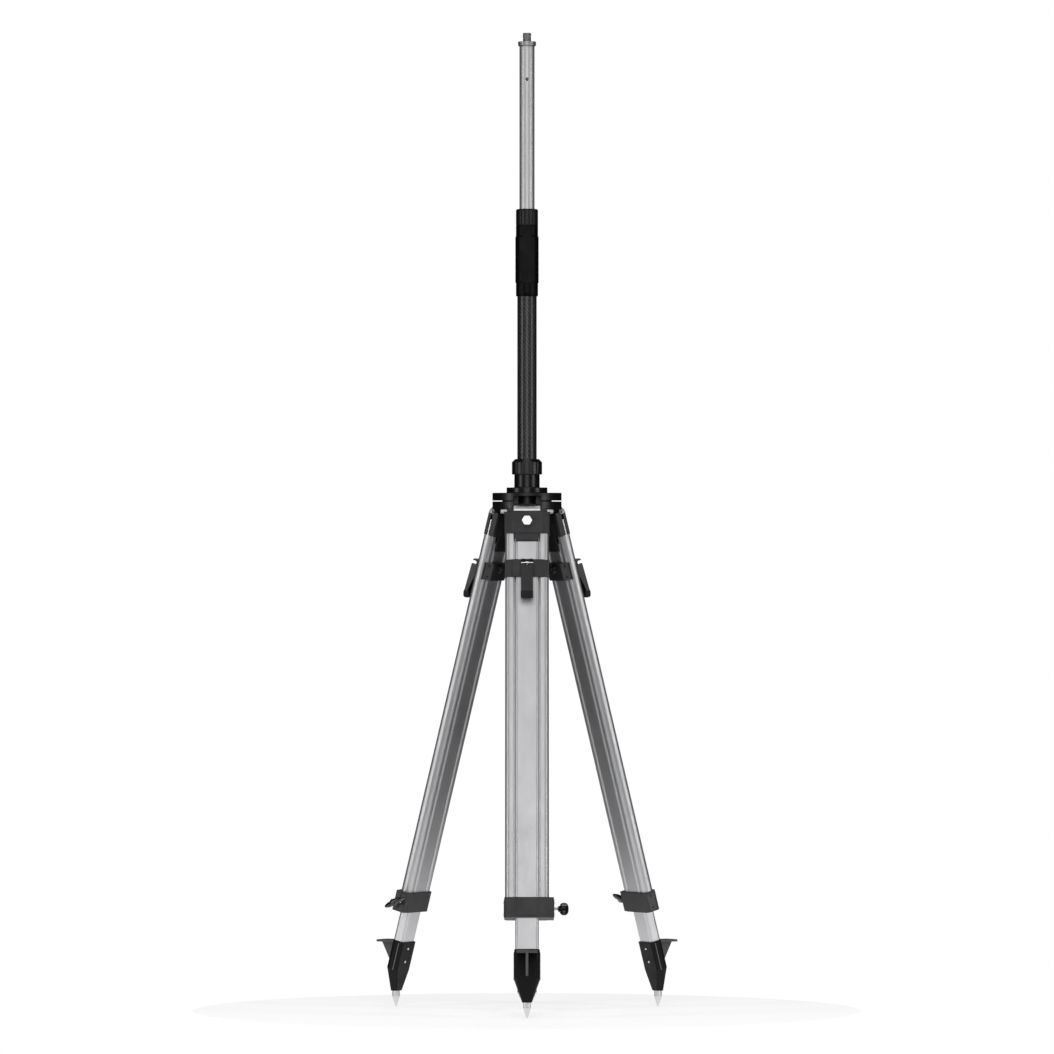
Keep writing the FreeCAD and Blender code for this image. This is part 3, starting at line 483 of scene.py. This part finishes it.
point_steel = brushed("point_turned_steel", 0.74, 0.36, (1, 0, 0), lines=1100.0)
cap_steel = brushed("cap_dull_steel", 0.4, 0.45, (0, 0, 1), lines=1200.0, metallic=0.8)
stud_steel = brushed("stud_zinc", 0.5, 0.42, (0, 0, 1), lines=900.0)
cap_aluminium = brushed("cap_grey_anodised", 0.62, 0.45, (0, 0, 1), lines=1200.0)
pole_aluminium = brushed("pole_aluminium", 0.86, 0.5, (0, 0, 1), variation=0.025, depth=0.03, edge_highlight_gain=0.1)
leg_aluminium = {side: brushed("leg_aluminium_" + side, 0.76, 0.47, joints["leg_slide_" + side]["axis"],
                               variation=0.03, depth=0.03, edge_highlight_gain=0.1)
                 for side in SIDES}
carbon = carbon_twill("carbon_twill")

NODE_FINISH = {
    "tripod_head": head_coat, "hinge_shafts": shaft_steel, "pole_adapter": adapter_coat,
    "adapter_nut": head_coat, "collet_ring": collet_nylon, "collet_nut": nut_plastic,
    "outer_tube": carbon, "pole_point": point_steel, "lock_collar": collar_plastic,
    "inner_tube": pole_aluminium,
}
LEG_NODE_FINISH = {
    "top_clamp_outer": casting_coat, "top_clamp_inner": casting_coat, "clamp_bolt": bolt_steel,
    "lower_bracket": casting_coat, "jaw_outer": casting_coat, "jaw_inner": casting_coat,
    "jaw_plates": plate_plastic, "cam_bolt": bolt_steel, "cam_lever": lever_plastic,
    "foot": foot_coat, "foot_tip": point_steel, "foot_step": tread_coat,
}


def dress_cad_nodes():
    """Gives each CAD node that stays visible its finish."""
    for name, material in NODE_FINISH.items():
        dress(name, material)
    for side in SIDES:
        for name, material in LEG_NODE_FINISH.items():
            dress(name + "_" + side, material)
        dress("leg_rails_" + side, leg_aluminium[side])
        dress("sliding_leg_" + side, leg_aluminium[side])


def dress(name, material):
    for slot in nodes[name].material_slots:
        slot.material = material


# ---- pole pieces ---------------------------------------------------------------------------
def stud_cap():
    """End cap with a rim, and the antenna stud with its thread."""
    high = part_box("pole_cap")[1]
    shoulder = shoulder_height()
    top = high[2] / MM
    radius = high[0] / MM
    base = shoulder - CAP_HEIGHT
    stud = stud_mount["dims"]["r_mm"]
    cap = grid_shell(lathe_rows([
        (CAP_BORE - 0.1, base - 4.0), (CAP_BORE, base), (radius - 2.6, base), (radius - 1.6, base + 0.5),
        (radius, base + 2.4), (radius, base + 5.2), (radius - 0.25, base + 5.4), (radius - 0.25, base + 6.0),
        (radius, base + 6.2), (radius, shoulder - 0.8), (radius - 0.8, shoulder), (stud + 0.6, shoulder),
    ]))
    thread = thread_rows(stud, THREAD_DEPTH, THREAD_PITCH, shoulder + 0.4, top - 1.0)
    neck = lathe_rows([(stud - 0.7, shoulder - 0.5), (stud - 0.6, shoulder + 0.3)], 48)
    end = lathe_rows([(stud - 1.0, top - 0.5), (stud - 1.6, top)], 48)
    cap_piece = add_piece("pole_end_cap", *cap, POLE, cap_aluminium, "inner_pole", "dark_anodised")
    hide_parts("pole_cap")
    add_piece("antenna_stud", *grid_shell(neck + thread + end), POLE, stud_steel,
              "inner_pole", "dark_anodised", 50)


def shoulder_height():
    """Height of the cap's shoulder, in millimetres, from the stud mount."""
    return stud_mount["pos_m"][2] / MM - stud_mount["dims"]["length_mm"] / 2


def grip_sleeve():
    """Soft sleeve with a swollen middle, a flat front panel and finger ridges at the back."""
    low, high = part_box("grip")
    bottom, top = low[2] / MM, high[2] / MM
    swell = high[0] / MM
    segments = 160
    inner_low, inner_top = lathe_rows([(GRIP_BORE, bottom), (GRIP_BORE, top)], segments)
    rows = [inner_low]
    rows += [grip_ring(z, bottom, top, swell, segments) for z in grip_levels(bottom, top)]
    rows.append(inner_top)
    points, faces = loop_shell(rows)
    piece = add_piece("grip_sleeve", points, faces, POLE, grip_plastic, "pole", "grip_rubber", 40)
    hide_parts("grip")


def grip_levels(bottom, top):
    """Heights of the sleeve's rings: close together at its ends and at the panel's lower step."""
    panel_low = bottom + PANEL_START
    levels = [bottom, bottom + 0.4, bottom + GRIP_LOW_ROUND, bottom + 8, bottom + 16, bottom + 23.4,
              panel_low - 0.4, panel_low + 0.2, panel_low + GRIP_EASE]
    z = panel_low + 3.0
    while z < top - 2.2:
        levels.append(z)
        z += 1.5
    return levels + [top - GRIP_TOP_ROUND, top - 0.5, top]


def grip_ring(z, bottom, top, swell, segments):
    """One ring of the sleeve's outside, cut flat by the panel and dipped between the finger ridges."""
    panel_low = bottom + PANEL_START
    radius = swell - GRIP_SWELL
    if z >= panel_low:
        ease_low = min(1.0, (z - panel_low) / GRIP_EASE)
        ease_high = min(1.0, max(0.0, (top - GRIP_NECK + GRIP_EASE - z) / GRIP_EASE))
        radius += GRIP_SWELL * min(ease_low, ease_high)
    if z < bottom + GRIP_LOW_ROUND:
        radius -= 1.0 - (z - bottom) / GRIP_LOW_ROUND
    if z > top - GRIP_TOP_ROUND:
        radius -= 0.5 * (1.0 - (top - z) / GRIP_TOP_ROUND)
    ring = []
    for i in range(segments):
        turn = 2 * math.pi * i / segments
        r = radius
        from_front = math.atan2(math.sin(turn + math.pi / 2), math.cos(turn + math.pi / 2))
        if z > panel_low and abs(from_front) < 1.0:
            r = min(r, PANEL_REACH / math.cos(from_front))
        from_back = math.pi - abs(from_front)
        if panel_low + 8 < z < top - 30 and from_back < RIDGE_SWEEP:
            wave = math.sin((z - panel_low) / RIDGE_PITCH * 2 * math.pi)
            r -= RIDGE_DEPTH * (0.5 + 0.5 * wave) * min(1.0, (RIDGE_SWEEP - from_back) / 0.2)
        ring.append((r * math.cos(turn), r * math.sin(turn), z))
    return ring


# ---- repeated fasteners and ribs -----------------------------------------------------------
class Tree:
    """A Geometry Nodes tree under construction, with named size inputs."""

    def __init__(self, name, sizes):
        self.tree = bpy.data.node_groups.new(name, "GeometryNodeTree")
        interface = self.tree.interface
        interface.new_socket(name="Geometry", in_out="INPUT", socket_type="NodeSocketGeometry")
        self.ids = {}
        for key, value in sizes.items():
            kind = "NodeSocketInt" if isinstance(value, int) else "NodeSocketFloat"
            socket = interface.new_socket(name=key, in_out="INPUT", socket_type=kind)
            socket.default_value = value
            self.ids[key] = socket.identifier
        interface.new_socket(name="Geometry", in_out="OUTPUT", socket_type="NodeSocketGeometry")
        self.input = self.tree.nodes.new("NodeGroupInput")
        self.output = self.tree.nodes.new("NodeGroupOutput")

    def node(self, kind, **inputs):
        made = self.tree.nodes.new(kind)
        for key, value in inputs.items():
            self.set(made.inputs[key.replace("_", " ")], value)
        return made

    def set(self, socket, value):
        if isinstance(value, bpy.types.NodeSocket):
            self.tree.links.new(value, socket)
        else:
            socket.default_value = value

    def math(self, operation, one, two=0.0):
        made = self.tree.nodes.new("ShaderNodeMath")
        made.operation = operation
        self.set(made.inputs[0], one)
        self.set(made.inputs[1], two)
        return made.outputs[0]

    def vector(self, x=0.0, y=0.0, z=0.0):
        made = self.tree.nodes.new("ShaderNodeCombineXYZ")
        for socket, value in zip(made.inputs, (x, y, z)):
            self.set(socket, value)
        return made.outputs[0]

    def spread(self, shape, finish):
        """Stands the shape on every point, along its facing, and ends the tree."""
        facing = self.node("GeometryNodeInputNamedAttribute")
        facing.data_type = "FLOAT_VECTOR"
        facing.inputs["Name"].default_value = "facing"
        align = self.tree.nodes.new("FunctionNodeAlignRotationToVector")
        align.axis = "Z"
        self.set(align.inputs["Vector"], facing.outputs["Attribute"])
        stand = self.node("GeometryNodeInstanceOnPoints", Points=self.input.outputs["Geometry"])
        self.set(stand.inputs["Instance"], shape)
        self.set(stand.inputs["Rotation"], align.outputs["Rotation"])
        real = self.node("GeometryNodeRealizeInstances", Geometry=stand.outputs["Instances"])
        coat = self.node("GeometryNodeSetMaterial", Geometry=real.outputs[0])
        coat.inputs["Material"].default_value = finish
        self.set(self.output.inputs["Geometry"], coat.outputs[0])


def socket_screw_tree(finish):
    """Button screw: a bevelled head with a hexagon socket."""
    t = Tree("socket_screw", {"Head radius": 0.0022, "Head height": 0.0010})
    radius = t.input.outputs["Head radius"]
    height = t.input.outputs["Head height"]
    lower = t.node("GeometryNodeMeshCylinder", Vertices=28, Radius=radius, Depth=height)
    dome = t.node("GeometryNodeMeshCone", Vertices=28, Radius_Top=t.math("MULTIPLY", radius, 0.72),
                  Radius_Bottom=radius, Depth=t.math("MULTIPLY", height, 0.45))
    lift = t.node("GeometryNodeTransform", Geometry=dome.outputs["Mesh"],
                  Translation=t.vector(z=t.math("MULTIPLY", height, 0.49)))
    head = t.node("GeometryNodeMeshBoolean")
    head.operation = "UNION"
    t.set(head.inputs["Mesh 2"], lower.outputs["Mesh"])
    t.set(head.inputs["Mesh 2"], lift.outputs[0])
    key = t.node("GeometryNodeMeshCylinder", Vertices=6, Radius=t.math("MULTIPLY", radius, 0.46),
                 Depth=height)
    key_up = t.node("GeometryNodeTransform", Geometry=key.outputs["Mesh"],
                    Translation=t.vector(z=t.math("MULTIPLY", height, 0.6)))
    cut = t.node("GeometryNodeMeshBoolean")
    cut.operation = "DIFFERENCE"
    t.set(cut.inputs["Mesh 1"], head.outputs["Mesh"])
    t.set(cut.inputs["Mesh 2"], key_up.outputs[0])
    t.spread(cut.outputs["Mesh"], finish)
    return t


def rivet_tree(finish):
    """Domed rivet head standing on a thin collar."""
    t = Tree("domed_rivet", {"Head radius": 0.0028, "Head height": 0.0013})
    radius = t.input.outputs["Head radius"]
    height = t.input.outputs["Head height"]
    ball = t.node("GeometryNodeMeshUVSphere", Segments=28, Rings=14, Radius=radius)
    squeeze = t.node("GeometryNodeTransform", Geometry=ball.outputs["Mesh"],
                     Scale=t.vector(1.0, 1.0, t.math("DIVIDE", height, radius)))
    smooth = t.node("GeometryNodeSetShadeSmooth", Geometry=squeeze.outputs[0])
    t.spread(smooth.outputs[0], finish)
    return t


def rib_tree(finish):
    """Slim round rib: a rod whose length follows the facing."""
    t = Tree("slim_rib", {"Rib length": 0.04, "Rib radius": 0.0006})
    length = t.input.outputs["Rib length"]
    radius = t.input.outputs["Rib radius"]
    rod = t.node("GeometryNodeMeshCylinder", Vertices=12, Radius=radius, Depth=length)
    t.spread(rod.outputs["Mesh"], finish)
    return t


def shaft_cap_tree(finish):
    """Turned end cap: a low disc with a small centre dimple."""
    t = Tree("shaft_cap", {"Cap radius": 0.0036, "Cap height": 0.0009})
    radius = t.input.outputs["Cap radius"]
    height = t.input.outputs["Cap height"]
    disc = t.node("GeometryNodeMeshCylinder", Vertices=32, Radius=radius, Depth=height)
    dimple = t.node("GeometryNodeMeshCone", Vertices=24, Radius_Top=t.math("MULTIPLY", radius, 0.4),
                    Radius_Bottom=t.math("MULTIPLY", radius, 0.12), Depth=height)
    dimple_up = t.node("GeometryNodeTransform", Geometry=dimple.outputs["Mesh"],
                       Translation=t.vector(z=t.math("MULTIPLY", height, 0.12)))
    cut = t.node("GeometryNodeMeshBoolean")
    cut.operation = "DIFFERENCE"
    t.set(cut.inputs["Mesh 1"], disc.outputs["Mesh"])
    t.set(cut.inputs["Mesh 2"], dimple_up.outputs[0])
    t.spread(cut.outputs["Mesh"], finish)
    return t


def stand_on(name, tree, sizes, places, finish, body, smooth=30.0):
    """Runs a tree on points given as (place, facing) and keeps the result as a plain mesh."""
    mesh = bpy.data.meshes.new(name)
    mesh.from_pydata([tuple(place) for place, _ in places], [], [])
    facing = mesh.attributes.new("facing", "FLOAT_VECTOR", "POINT")
    for i, (_, direction) in enumerate(places):
        facing.data[i].vector = tuple(direction)
    holder = bpy.data.objects.new(name + "_points", mesh)
    bpy.context.collection.objects.link(holder)
    modifier = holder.modifiers.new("build", "NODES")
    modifier.node_group = tree.tree
    for key, value in sizes.items():
        modifier[tree.ids[key]] = value
    bpy.context.view_layer.update()
    evaluated = holder.evaluated_get(bpy.context.evaluated_depsgraph_get())
    made = bpy.data.meshes.new_from_object(evaluated)
    made.name = name
    holder.modifiers.remove(modifier)
    bpy.data.objects.remove(holder)
    piece = bpy.data.objects.new(name, made)
    bpy.context.collection.objects.link(piece)
    finish_piece(piece, finish, body, smooth)
    return piece


def spots(side, places):
    """(place, facing) pairs in the row frame from a leg's own millimetres."""
    turn = LEG[side].to_3x3()
    return [(LEG[side] @ Vector(at), (turn @ Vector(way)).normalized()) for at, way in places]


def shaft_caps(tree):
    """End caps on both ends of the three hinge shafts, which belong to the head."""
    places = []
    for side in SIDES:
        end = leg_span(side, "top_clamp_inner_" + side, 1)[1] + SHAFT_REACH
        places += spots(side, [((0.0, hand * (end + 0.1), 0.0), (0, hand, 0)) for hand in (-1, 1)])
    stand_on("shaft_caps", tree, {"Cap radius": 0.0034, "Cap height": 0.0009}, places, cap_steel,
             "head")


def preset_hole_shade():
    """Dark disc in the preset hole of the inner tube that paints the shade inside the hole, with a pressed
    rim round it.
    """
    level = shoulder_height() - (PRESET_DROP + CAP_HEIGHT)
    tube = INNER_TUBE_RADIUS
    rim = lathe_rows([(3.25, tube - 0.6), (3.9, tube - 0.6), (3.9, tube), (3.6, tube + 0.2),
                      (3.25, tube + 0.2)], 40)
    plug = lathe_rows([(2.6, tube - 2.2), (2.6, tube), (3.2, tube), (3.2, tube + 0.3), (2.4, tube + 0.45),
                       (0.2, tube + 0.45)], 40)
    lay = Matrix(((1, 0, 0, 0), (0, 0, -1, 0), (0, 1, 0, level), (0, 0, 0, 1)))
    # dark disc filling the hole: painted shade
    add_piece("preset_hole_shade", *grid_shell(plug), POLE @ lay, knob_plastic, "inner_pole", "dark_anodised")
    points, faces = loop_shell(rim)
    add_piece("preset_rim", points, faces, POLE @ lay, rivet_steel, "inner_pole", "dark_anodised", 25)


# ---- leg pieces ----------------------------------------------------------------------------
def plate_screws(side, tree):
    """Two screws in each slanted cover plate of the sliding clamp."""
    low_up, high_up = leg_span(side, "jaw_plates_" + side, 2)
    inner, outer = PLATE_BACK_CORNER, PLATE_SIDE_CORNER
    middle = [(inner[i] + outer[i]) / 2 for i in range(2)]
    slant = math.hypot(outer[0] - inner[0], outer[1] - inner[1])
    way = (-(outer[1] - inner[1]) / slant, (outer[0] - inner[0]) / slant)
    places = []
    for hand in (-1, 1):
        for up in (low_up + PLATE_SCREW_INSET, high_up - PLATE_SCREW_INSET):
            at = (middle[0] + way[0] * PLATE_THICKNESS, hand * (middle[1] + way[1] * PLATE_THICKNESS), up)
            places.append((at, (way[0], hand * way[1], 0.0)))
    stand_on("plate_screws_" + side, tree, {"Head radius": 0.0021, "Head height": 0.0011},
             spots(side, places), screw_steel, "slider_" + side)


def bracket_plates(side, tree):
    """Cover plates on the bracket's narrow sides, in two halves where the wing screw comes out."""
    low_up, high_up = leg_span(side, "lower_bracket_" + side, 2)
    near, far = leg_span(side, "lower_bracket_" + side, 1)
    parts, places = [], []
    for edge, hand, front, back in ((near, -1, 6.0, -8.5), (far, 1, 10.2, -10.2)):
        bottom, top = low_up + BRACKET_PLATE_INSET, high_up - BRACKET_PLATE_INSET
        low, high = sorted((edge - hand * 0.2, edge + hand * 0.9))
        middle = (bottom + top) / 2
        halves = [(bottom, middle - SCREW_WINDOW), (middle + SCREW_WINDOW, top)]
        spans = [(bottom, top)] if hand < 0 else halves
        for start, end in spans:
            corners = [(start, back), (start, front), (end, front), (end, back)]
            parts.append(strip(corners, low, high, 0.25, 1))
        for up in (bottom + BRACKET_SCREW_INSET, top - BRACKET_SCREW_INSET):
            places.append((((front + back) / 2, edge + hand * 1.2, up), (0.0, hand, 0.0)))
    points, faces = join(parts)
    add_piece("bracket_plates_" + side, points, faces, LEG[side], plate_plastic,
              "leg_" + side, "grey_plastic")
    stand_on("bracket_screws_" + side, tree, {"Head radius": 0.0020, "Head height": 0.0010},
             spots(side, places), screw_steel, "leg_" + side)


def foot_details(side, rivets, ribs):
    """Rivets on the shoe's inner face, a rib on each side and flutes on the front."""
    mouth = leg_span(side, "foot_" + side, 2)[1]
    places = [((FOOT_BACK, 0.0, mouth - drop), (-1, 0, 0)) for drop in RIVET_DROPS]
    stand_on("foot_rivets_" + side, rivets, {"Head radius": 0.0026, "Head height": 0.0013},
             spots(side, places), rivet_steel, "slider_" + side)
    places = [((-4.0, hand * FOOT_HALF_WIDTH, mouth - RIB_DROP), (0, 0, 1)) for hand in (-1, 1)]
    stand_on("foot_side_ribs_" + side, ribs, {"Rib length": 0.052, "Rib radius": 0.0011},
             spots(side, places), rib_coat, "slider_" + side)
    places = []
    for i in range(FLUTES):
        across = (i - (FLUTES - 1) / 2) * FLUTE_PITCH
        if abs(across) > FLUTE_GAP:
            places.append(((FOOT_FRONT, across, mouth - FLUTE_DROP), (0, 0, 1)))
    stand_on("foot_flutes_" + side, ribs, {"Rib length": 0.044, "Rib radius": 0.00055},
             spots(side, places), foot_coat, "slider_" + side)


def threaded_stem(side):
    """Screw of the wing knob, with a rounded point."""
    start, end = leg_span(side, "wing_stem_" + side, 1)
    low_up, high_up = leg_span(side, "wing_stem_" + side, 2)
    radius = (high_up - low_up) / 2
    point = lathe_rows([(0.6, start), (radius - 1.0, start + 0.3), (radius - 0.5, start + 0.9)], 40)
    rows = point + thread_rows(radius, STEM_THREAD_DEPTH, STEM_PITCH, start + 1.2, end - 1.0, 40, 8)
    rows += lathe_rows([(radius - 0.8, end)], 40)
    across = Matrix(((1, 0, 0, 0), (0, 0, 1, 0), (0, -1, 0, (low_up + high_up) / 2), (0, 0, 0, 1)))
    points, faces = grid_shell(rows)
    piece = add_piece("wing_screw_" + side, points, faces, LEG[side] @ across, bolt_steel,
                      "stem_" + side, "shaft_steel", 50)
    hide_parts("wing_stem_" + side)


def wing_knob(side):
    """Two-winged knob: full leaves that thin towards their ends, round a stepped hub."""
    node = "wing_knob_" + side
    start, end = leg_span(side, node, 1)
    low_up, high_up = leg_span(side, node, 2)
    wing_start = start + 2.0
    middle_across = (wing_start + end) / 2
    leaf = grid_shell(wing_rows((end - wing_start) / 2 - 0.3))
    lay = Matrix(((0, 0, 1, 0), (1, 0, 0, middle_across), (0, 1, 0, 0), (0, 0, 0, 1)))
    hub = grid_shell(lathe_rows([
        (5.0, start), (5.4, start + 0.5), (5.4, start + 2.2), (6.3, start + 3.0), (6.3, end - 2.0),
        (5.6, end - 0.9), (4.2, end - 0.5), (3.9, end - 1.2), (0.4, end - 1.3),
    ], 48))
    hub_lay = Matrix(((1, 0, 0, 0), (0, 0, 1, 0), (0, -1, 0, 0), (0, 0, 0, 1)))
    points, faces = join([moved(leaf, lay), moved(hub, hub_lay)])
    turn = Matrix.Rotation(-math.radians(WING_TURN), 4, "Y")
    place = LEG[side] @ Matrix.Translation((0, 0, (low_up + high_up) / 2)) @ turn
    piece = add_piece("wing_knob_shell_" + side, points, faces, place, knob_plastic,
                      "knob_" + side, "lever_plastic", 60)
    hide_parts(node)


def wing_rows(half_width, steps=28, segments=40):
    """Rings of both leaves, tip to tip: fuller than an ellipse, with a slight waist beside the hub."""
    half_thick, thinning = 6.5, 1.5
    waist_place, waist_width, waist_depth = 0.36, 0.14, 0.14
    squareness = 0.85
    rows = []
    for j in range(steps + 1):
        latitude = -math.pi / 2 + math.pi * (j + 0.02) / (steps + 0.04)
        along = WING_REACH * math.sin(latitude)
        share = abs(along) / WING_REACH
        width = half_width * math.cos(latitude) ** 0.62
        thick = (half_thick - thinning * share) * math.cos(latitude) ** 0.8
        thick *= 1.0 - waist_depth * math.exp(-((share - waist_place) / waist_width) ** 2)
        row = []
        for i in range(segments):
            t = 2 * math.pi * i / segments
            c, s = math.cos(t), math.sin(t)
            row.append((width * math.copysign(abs(c) ** squareness, c),
                        thick * math.copysign(abs(s) ** squareness, s), along))
        rows.append(row)
    return rows


def lever_tip(side):
    """Rubber sleeve on the free end of the cam lever."""
    node = "cam_lever_" + side
    bottom = leg_span(side, node, 2)[0]
    near, far = leg_span(side, node, 1)
    face = leg_span(side, node, 0)[1] - 0.1
    lip = SLEEVE_LIP
    profile = [
        (face - 9.4 - lip, bottom + 12.4), (face - 11.0 - lip, bottom + 5.5),
        (face - 10.6 - lip, bottom + 1.6),
        (face - 8.0, bottom - lip), (face - 3.0, bottom - lip), (face - 0.6, bottom + 1.6),
        (face + 0.5 + lip, bottom + 7.6), (face + 0.3 + lip, bottom + 12.4),
    ]
    corners = [(up, out) for out, up in profile]
    points, faces = strip(corners, near - lip, far + lip, 0.5, 1)
    add_piece("lever_tip_" + side, points, faces, LEG[side], lever_rubber, "lever_" + side, "lever_plastic")


def nut_cap(side):
    """Black cap over the cam bolt's nut, with a sunk centre."""
    back = leg_span(side, "cam_bolt_" + side, 0)[0]
    rows = lathe_rows([
        (7.9, -back - 3.3), (8.3, -back - 2.9), (8.3, -back - 1.6), (7.2, -back + 0.3), (5.2, -back + 1.0),
        (3.0, -back + 1.0), (2.4, -back + 0.4), (2.2, -back - 1.2), (0.3, -back - 1.3),
    ], 48)
    lay = Matrix(((0, 0, -1, 0), (0, 1, 0, 0), (1, 0, 0, 0), (0, 0, 0, 1)))
    drop = leg_span(side, "cam_bolt_" + side, 2)
    place = LEG[side] @ Matrix.Translation((0, 0, (drop[0] + drop[1]) / 2)) @ lay
    add_piece("nut_cap_" + side, *grid_shell(rows), place, lever_plastic, "slider_" + side, "lever_plastic")


# ---- studio --------------------------------------------------------------------------------
def studio():
    """Pale floor, white surroundings, soft lights and the camera, none of which is a part of the tripod."""
    radius, count = 0.62, 96
    rim = lathe_rows([(radius, 0.0)], count)[0]
    floor_mesh = bpy.data.meshes.new("floor")
    floor_mesh.from_pydata(rim, [], [tuple(range(count))])
    floor = bpy.data.objects.new("floor", floor_mesh)
    floor.location.z = -0.0002
    bpy.context.collection.objects.link(floor)
    f = Finish("pale_floor")
    f.surface((0.92, 0.92, 0.92), 0.9)
    f.shader.inputs["Specular IOR Level"].default_value = 0.0
    f.shader.inputs["Emission Color"].default_value = WHITE
    f.shader.inputs["Emission Strength"].default_value = 0.7
    floor_mesh.materials.append(f.material)

    world = bpy.data.worlds.new("studio")
    bpy.context.scene.world = world
    world.use_nodes = True
    tree = world.node_tree
    tree.nodes.clear()
    seen = tree.nodes.new("ShaderNodeBackground")
    seen.inputs[0].default_value = WHITE
    seen.inputs[1].default_value = 1.0
    fill = tree.nodes.new("ShaderNodeBackground")
    fill.inputs[0].default_value = WHITE
    fill.inputs[1].default_value = 0.015
    path = tree.nodes.new("ShaderNodeLightPath")
    mix = tree.nodes.new("ShaderNodeMixShader")
    out = tree.nodes.new("ShaderNodeOutputWorld")
    tree.links.new(path.outputs["Is Camera Ray"], mix.inputs[0])
    tree.links.new(fill.outputs[0], mix.inputs[1])
    tree.links.new(seen.outputs[0], mix.inputs[2])
    tree.links.new(mix.outputs[0], out.inputs[0])

    softbox("softbox_left", (-2.7, -1.5, 0.95), 0.7, 2.8, 22.0)
    softbox("softbox_right", (2.7, -1.5, 0.95), 0.7, 2.8, 22.0)
    softbox("front_fill", (0.0, -5.2, 3.6), 3.4, 2.6, 42.0)
    softbox("front_low", (0.0, -6.0, 1.5), 3.0, 1.8, 36.0)
    softbox("top_fill", (0.0, -0.4, 4.2), 1.6, 1.6, 10.0)
    softbox("back_fill", (0.0, 5.0, 3.4), 3.0, 2.0, 16.0)

    camera_data = bpy.data.cameras.new("camera")
    camera_data.lens = 308.8
    camera_data.sensor_width = 36.0
    camera_data.clip_end = 200.0
    camera = bpy.data.objects.new("camera", camera_data)
    camera.location = (0.0, -16.8, 0.898)
    camera.rotation_euler = (math.radians(90.0), 0.0, 0.0)
    bpy.context.collection.objects.link(camera)
    bpy.context.scene.camera = camera
    bpy.context.scene.view_settings.view_transform = "Standard"


def softbox(name, place, width, height, power):
    """A rectangular light that faces the middle of the tripod; its power is in watts."""
    light = bpy.data.lights.new(name, "AREA")
    light.shape = "RECTANGLE"
    light.size = width
    light.size_y = height
    light.energy = power
    lamp = bpy.data.objects.new(name, light)
    lamp.location = place
    middle = Vector((0.0, 0.0, 0.95))
    toward = middle - Vector(place)
    lamp.rotation_euler = toward.to_track_quat("-Z", "Y").to_euler()
    bpy.context.collection.objects.link(lamp)


# ---- build ---------------------------------------------------------------------------------
dress_cad_nodes()
stud_cap()
grip_sleeve()
screws = socket_screw_tree(screw_steel)
rivets = rivet_tree(rivet_steel)
ribs = rib_tree(foot_coat)
shaft_caps(shaft_cap_tree(cap_steel))
preset_hole_shade()
for side in SIDES:
    plate_screws(side, screws)
    bracket_plates(side, screws)
    foot_details(side, rivets, ribs)
    threaded_stem(side)
    wing_knob(side)
    lever_tip(side)
    nut_cap(side)
studio()
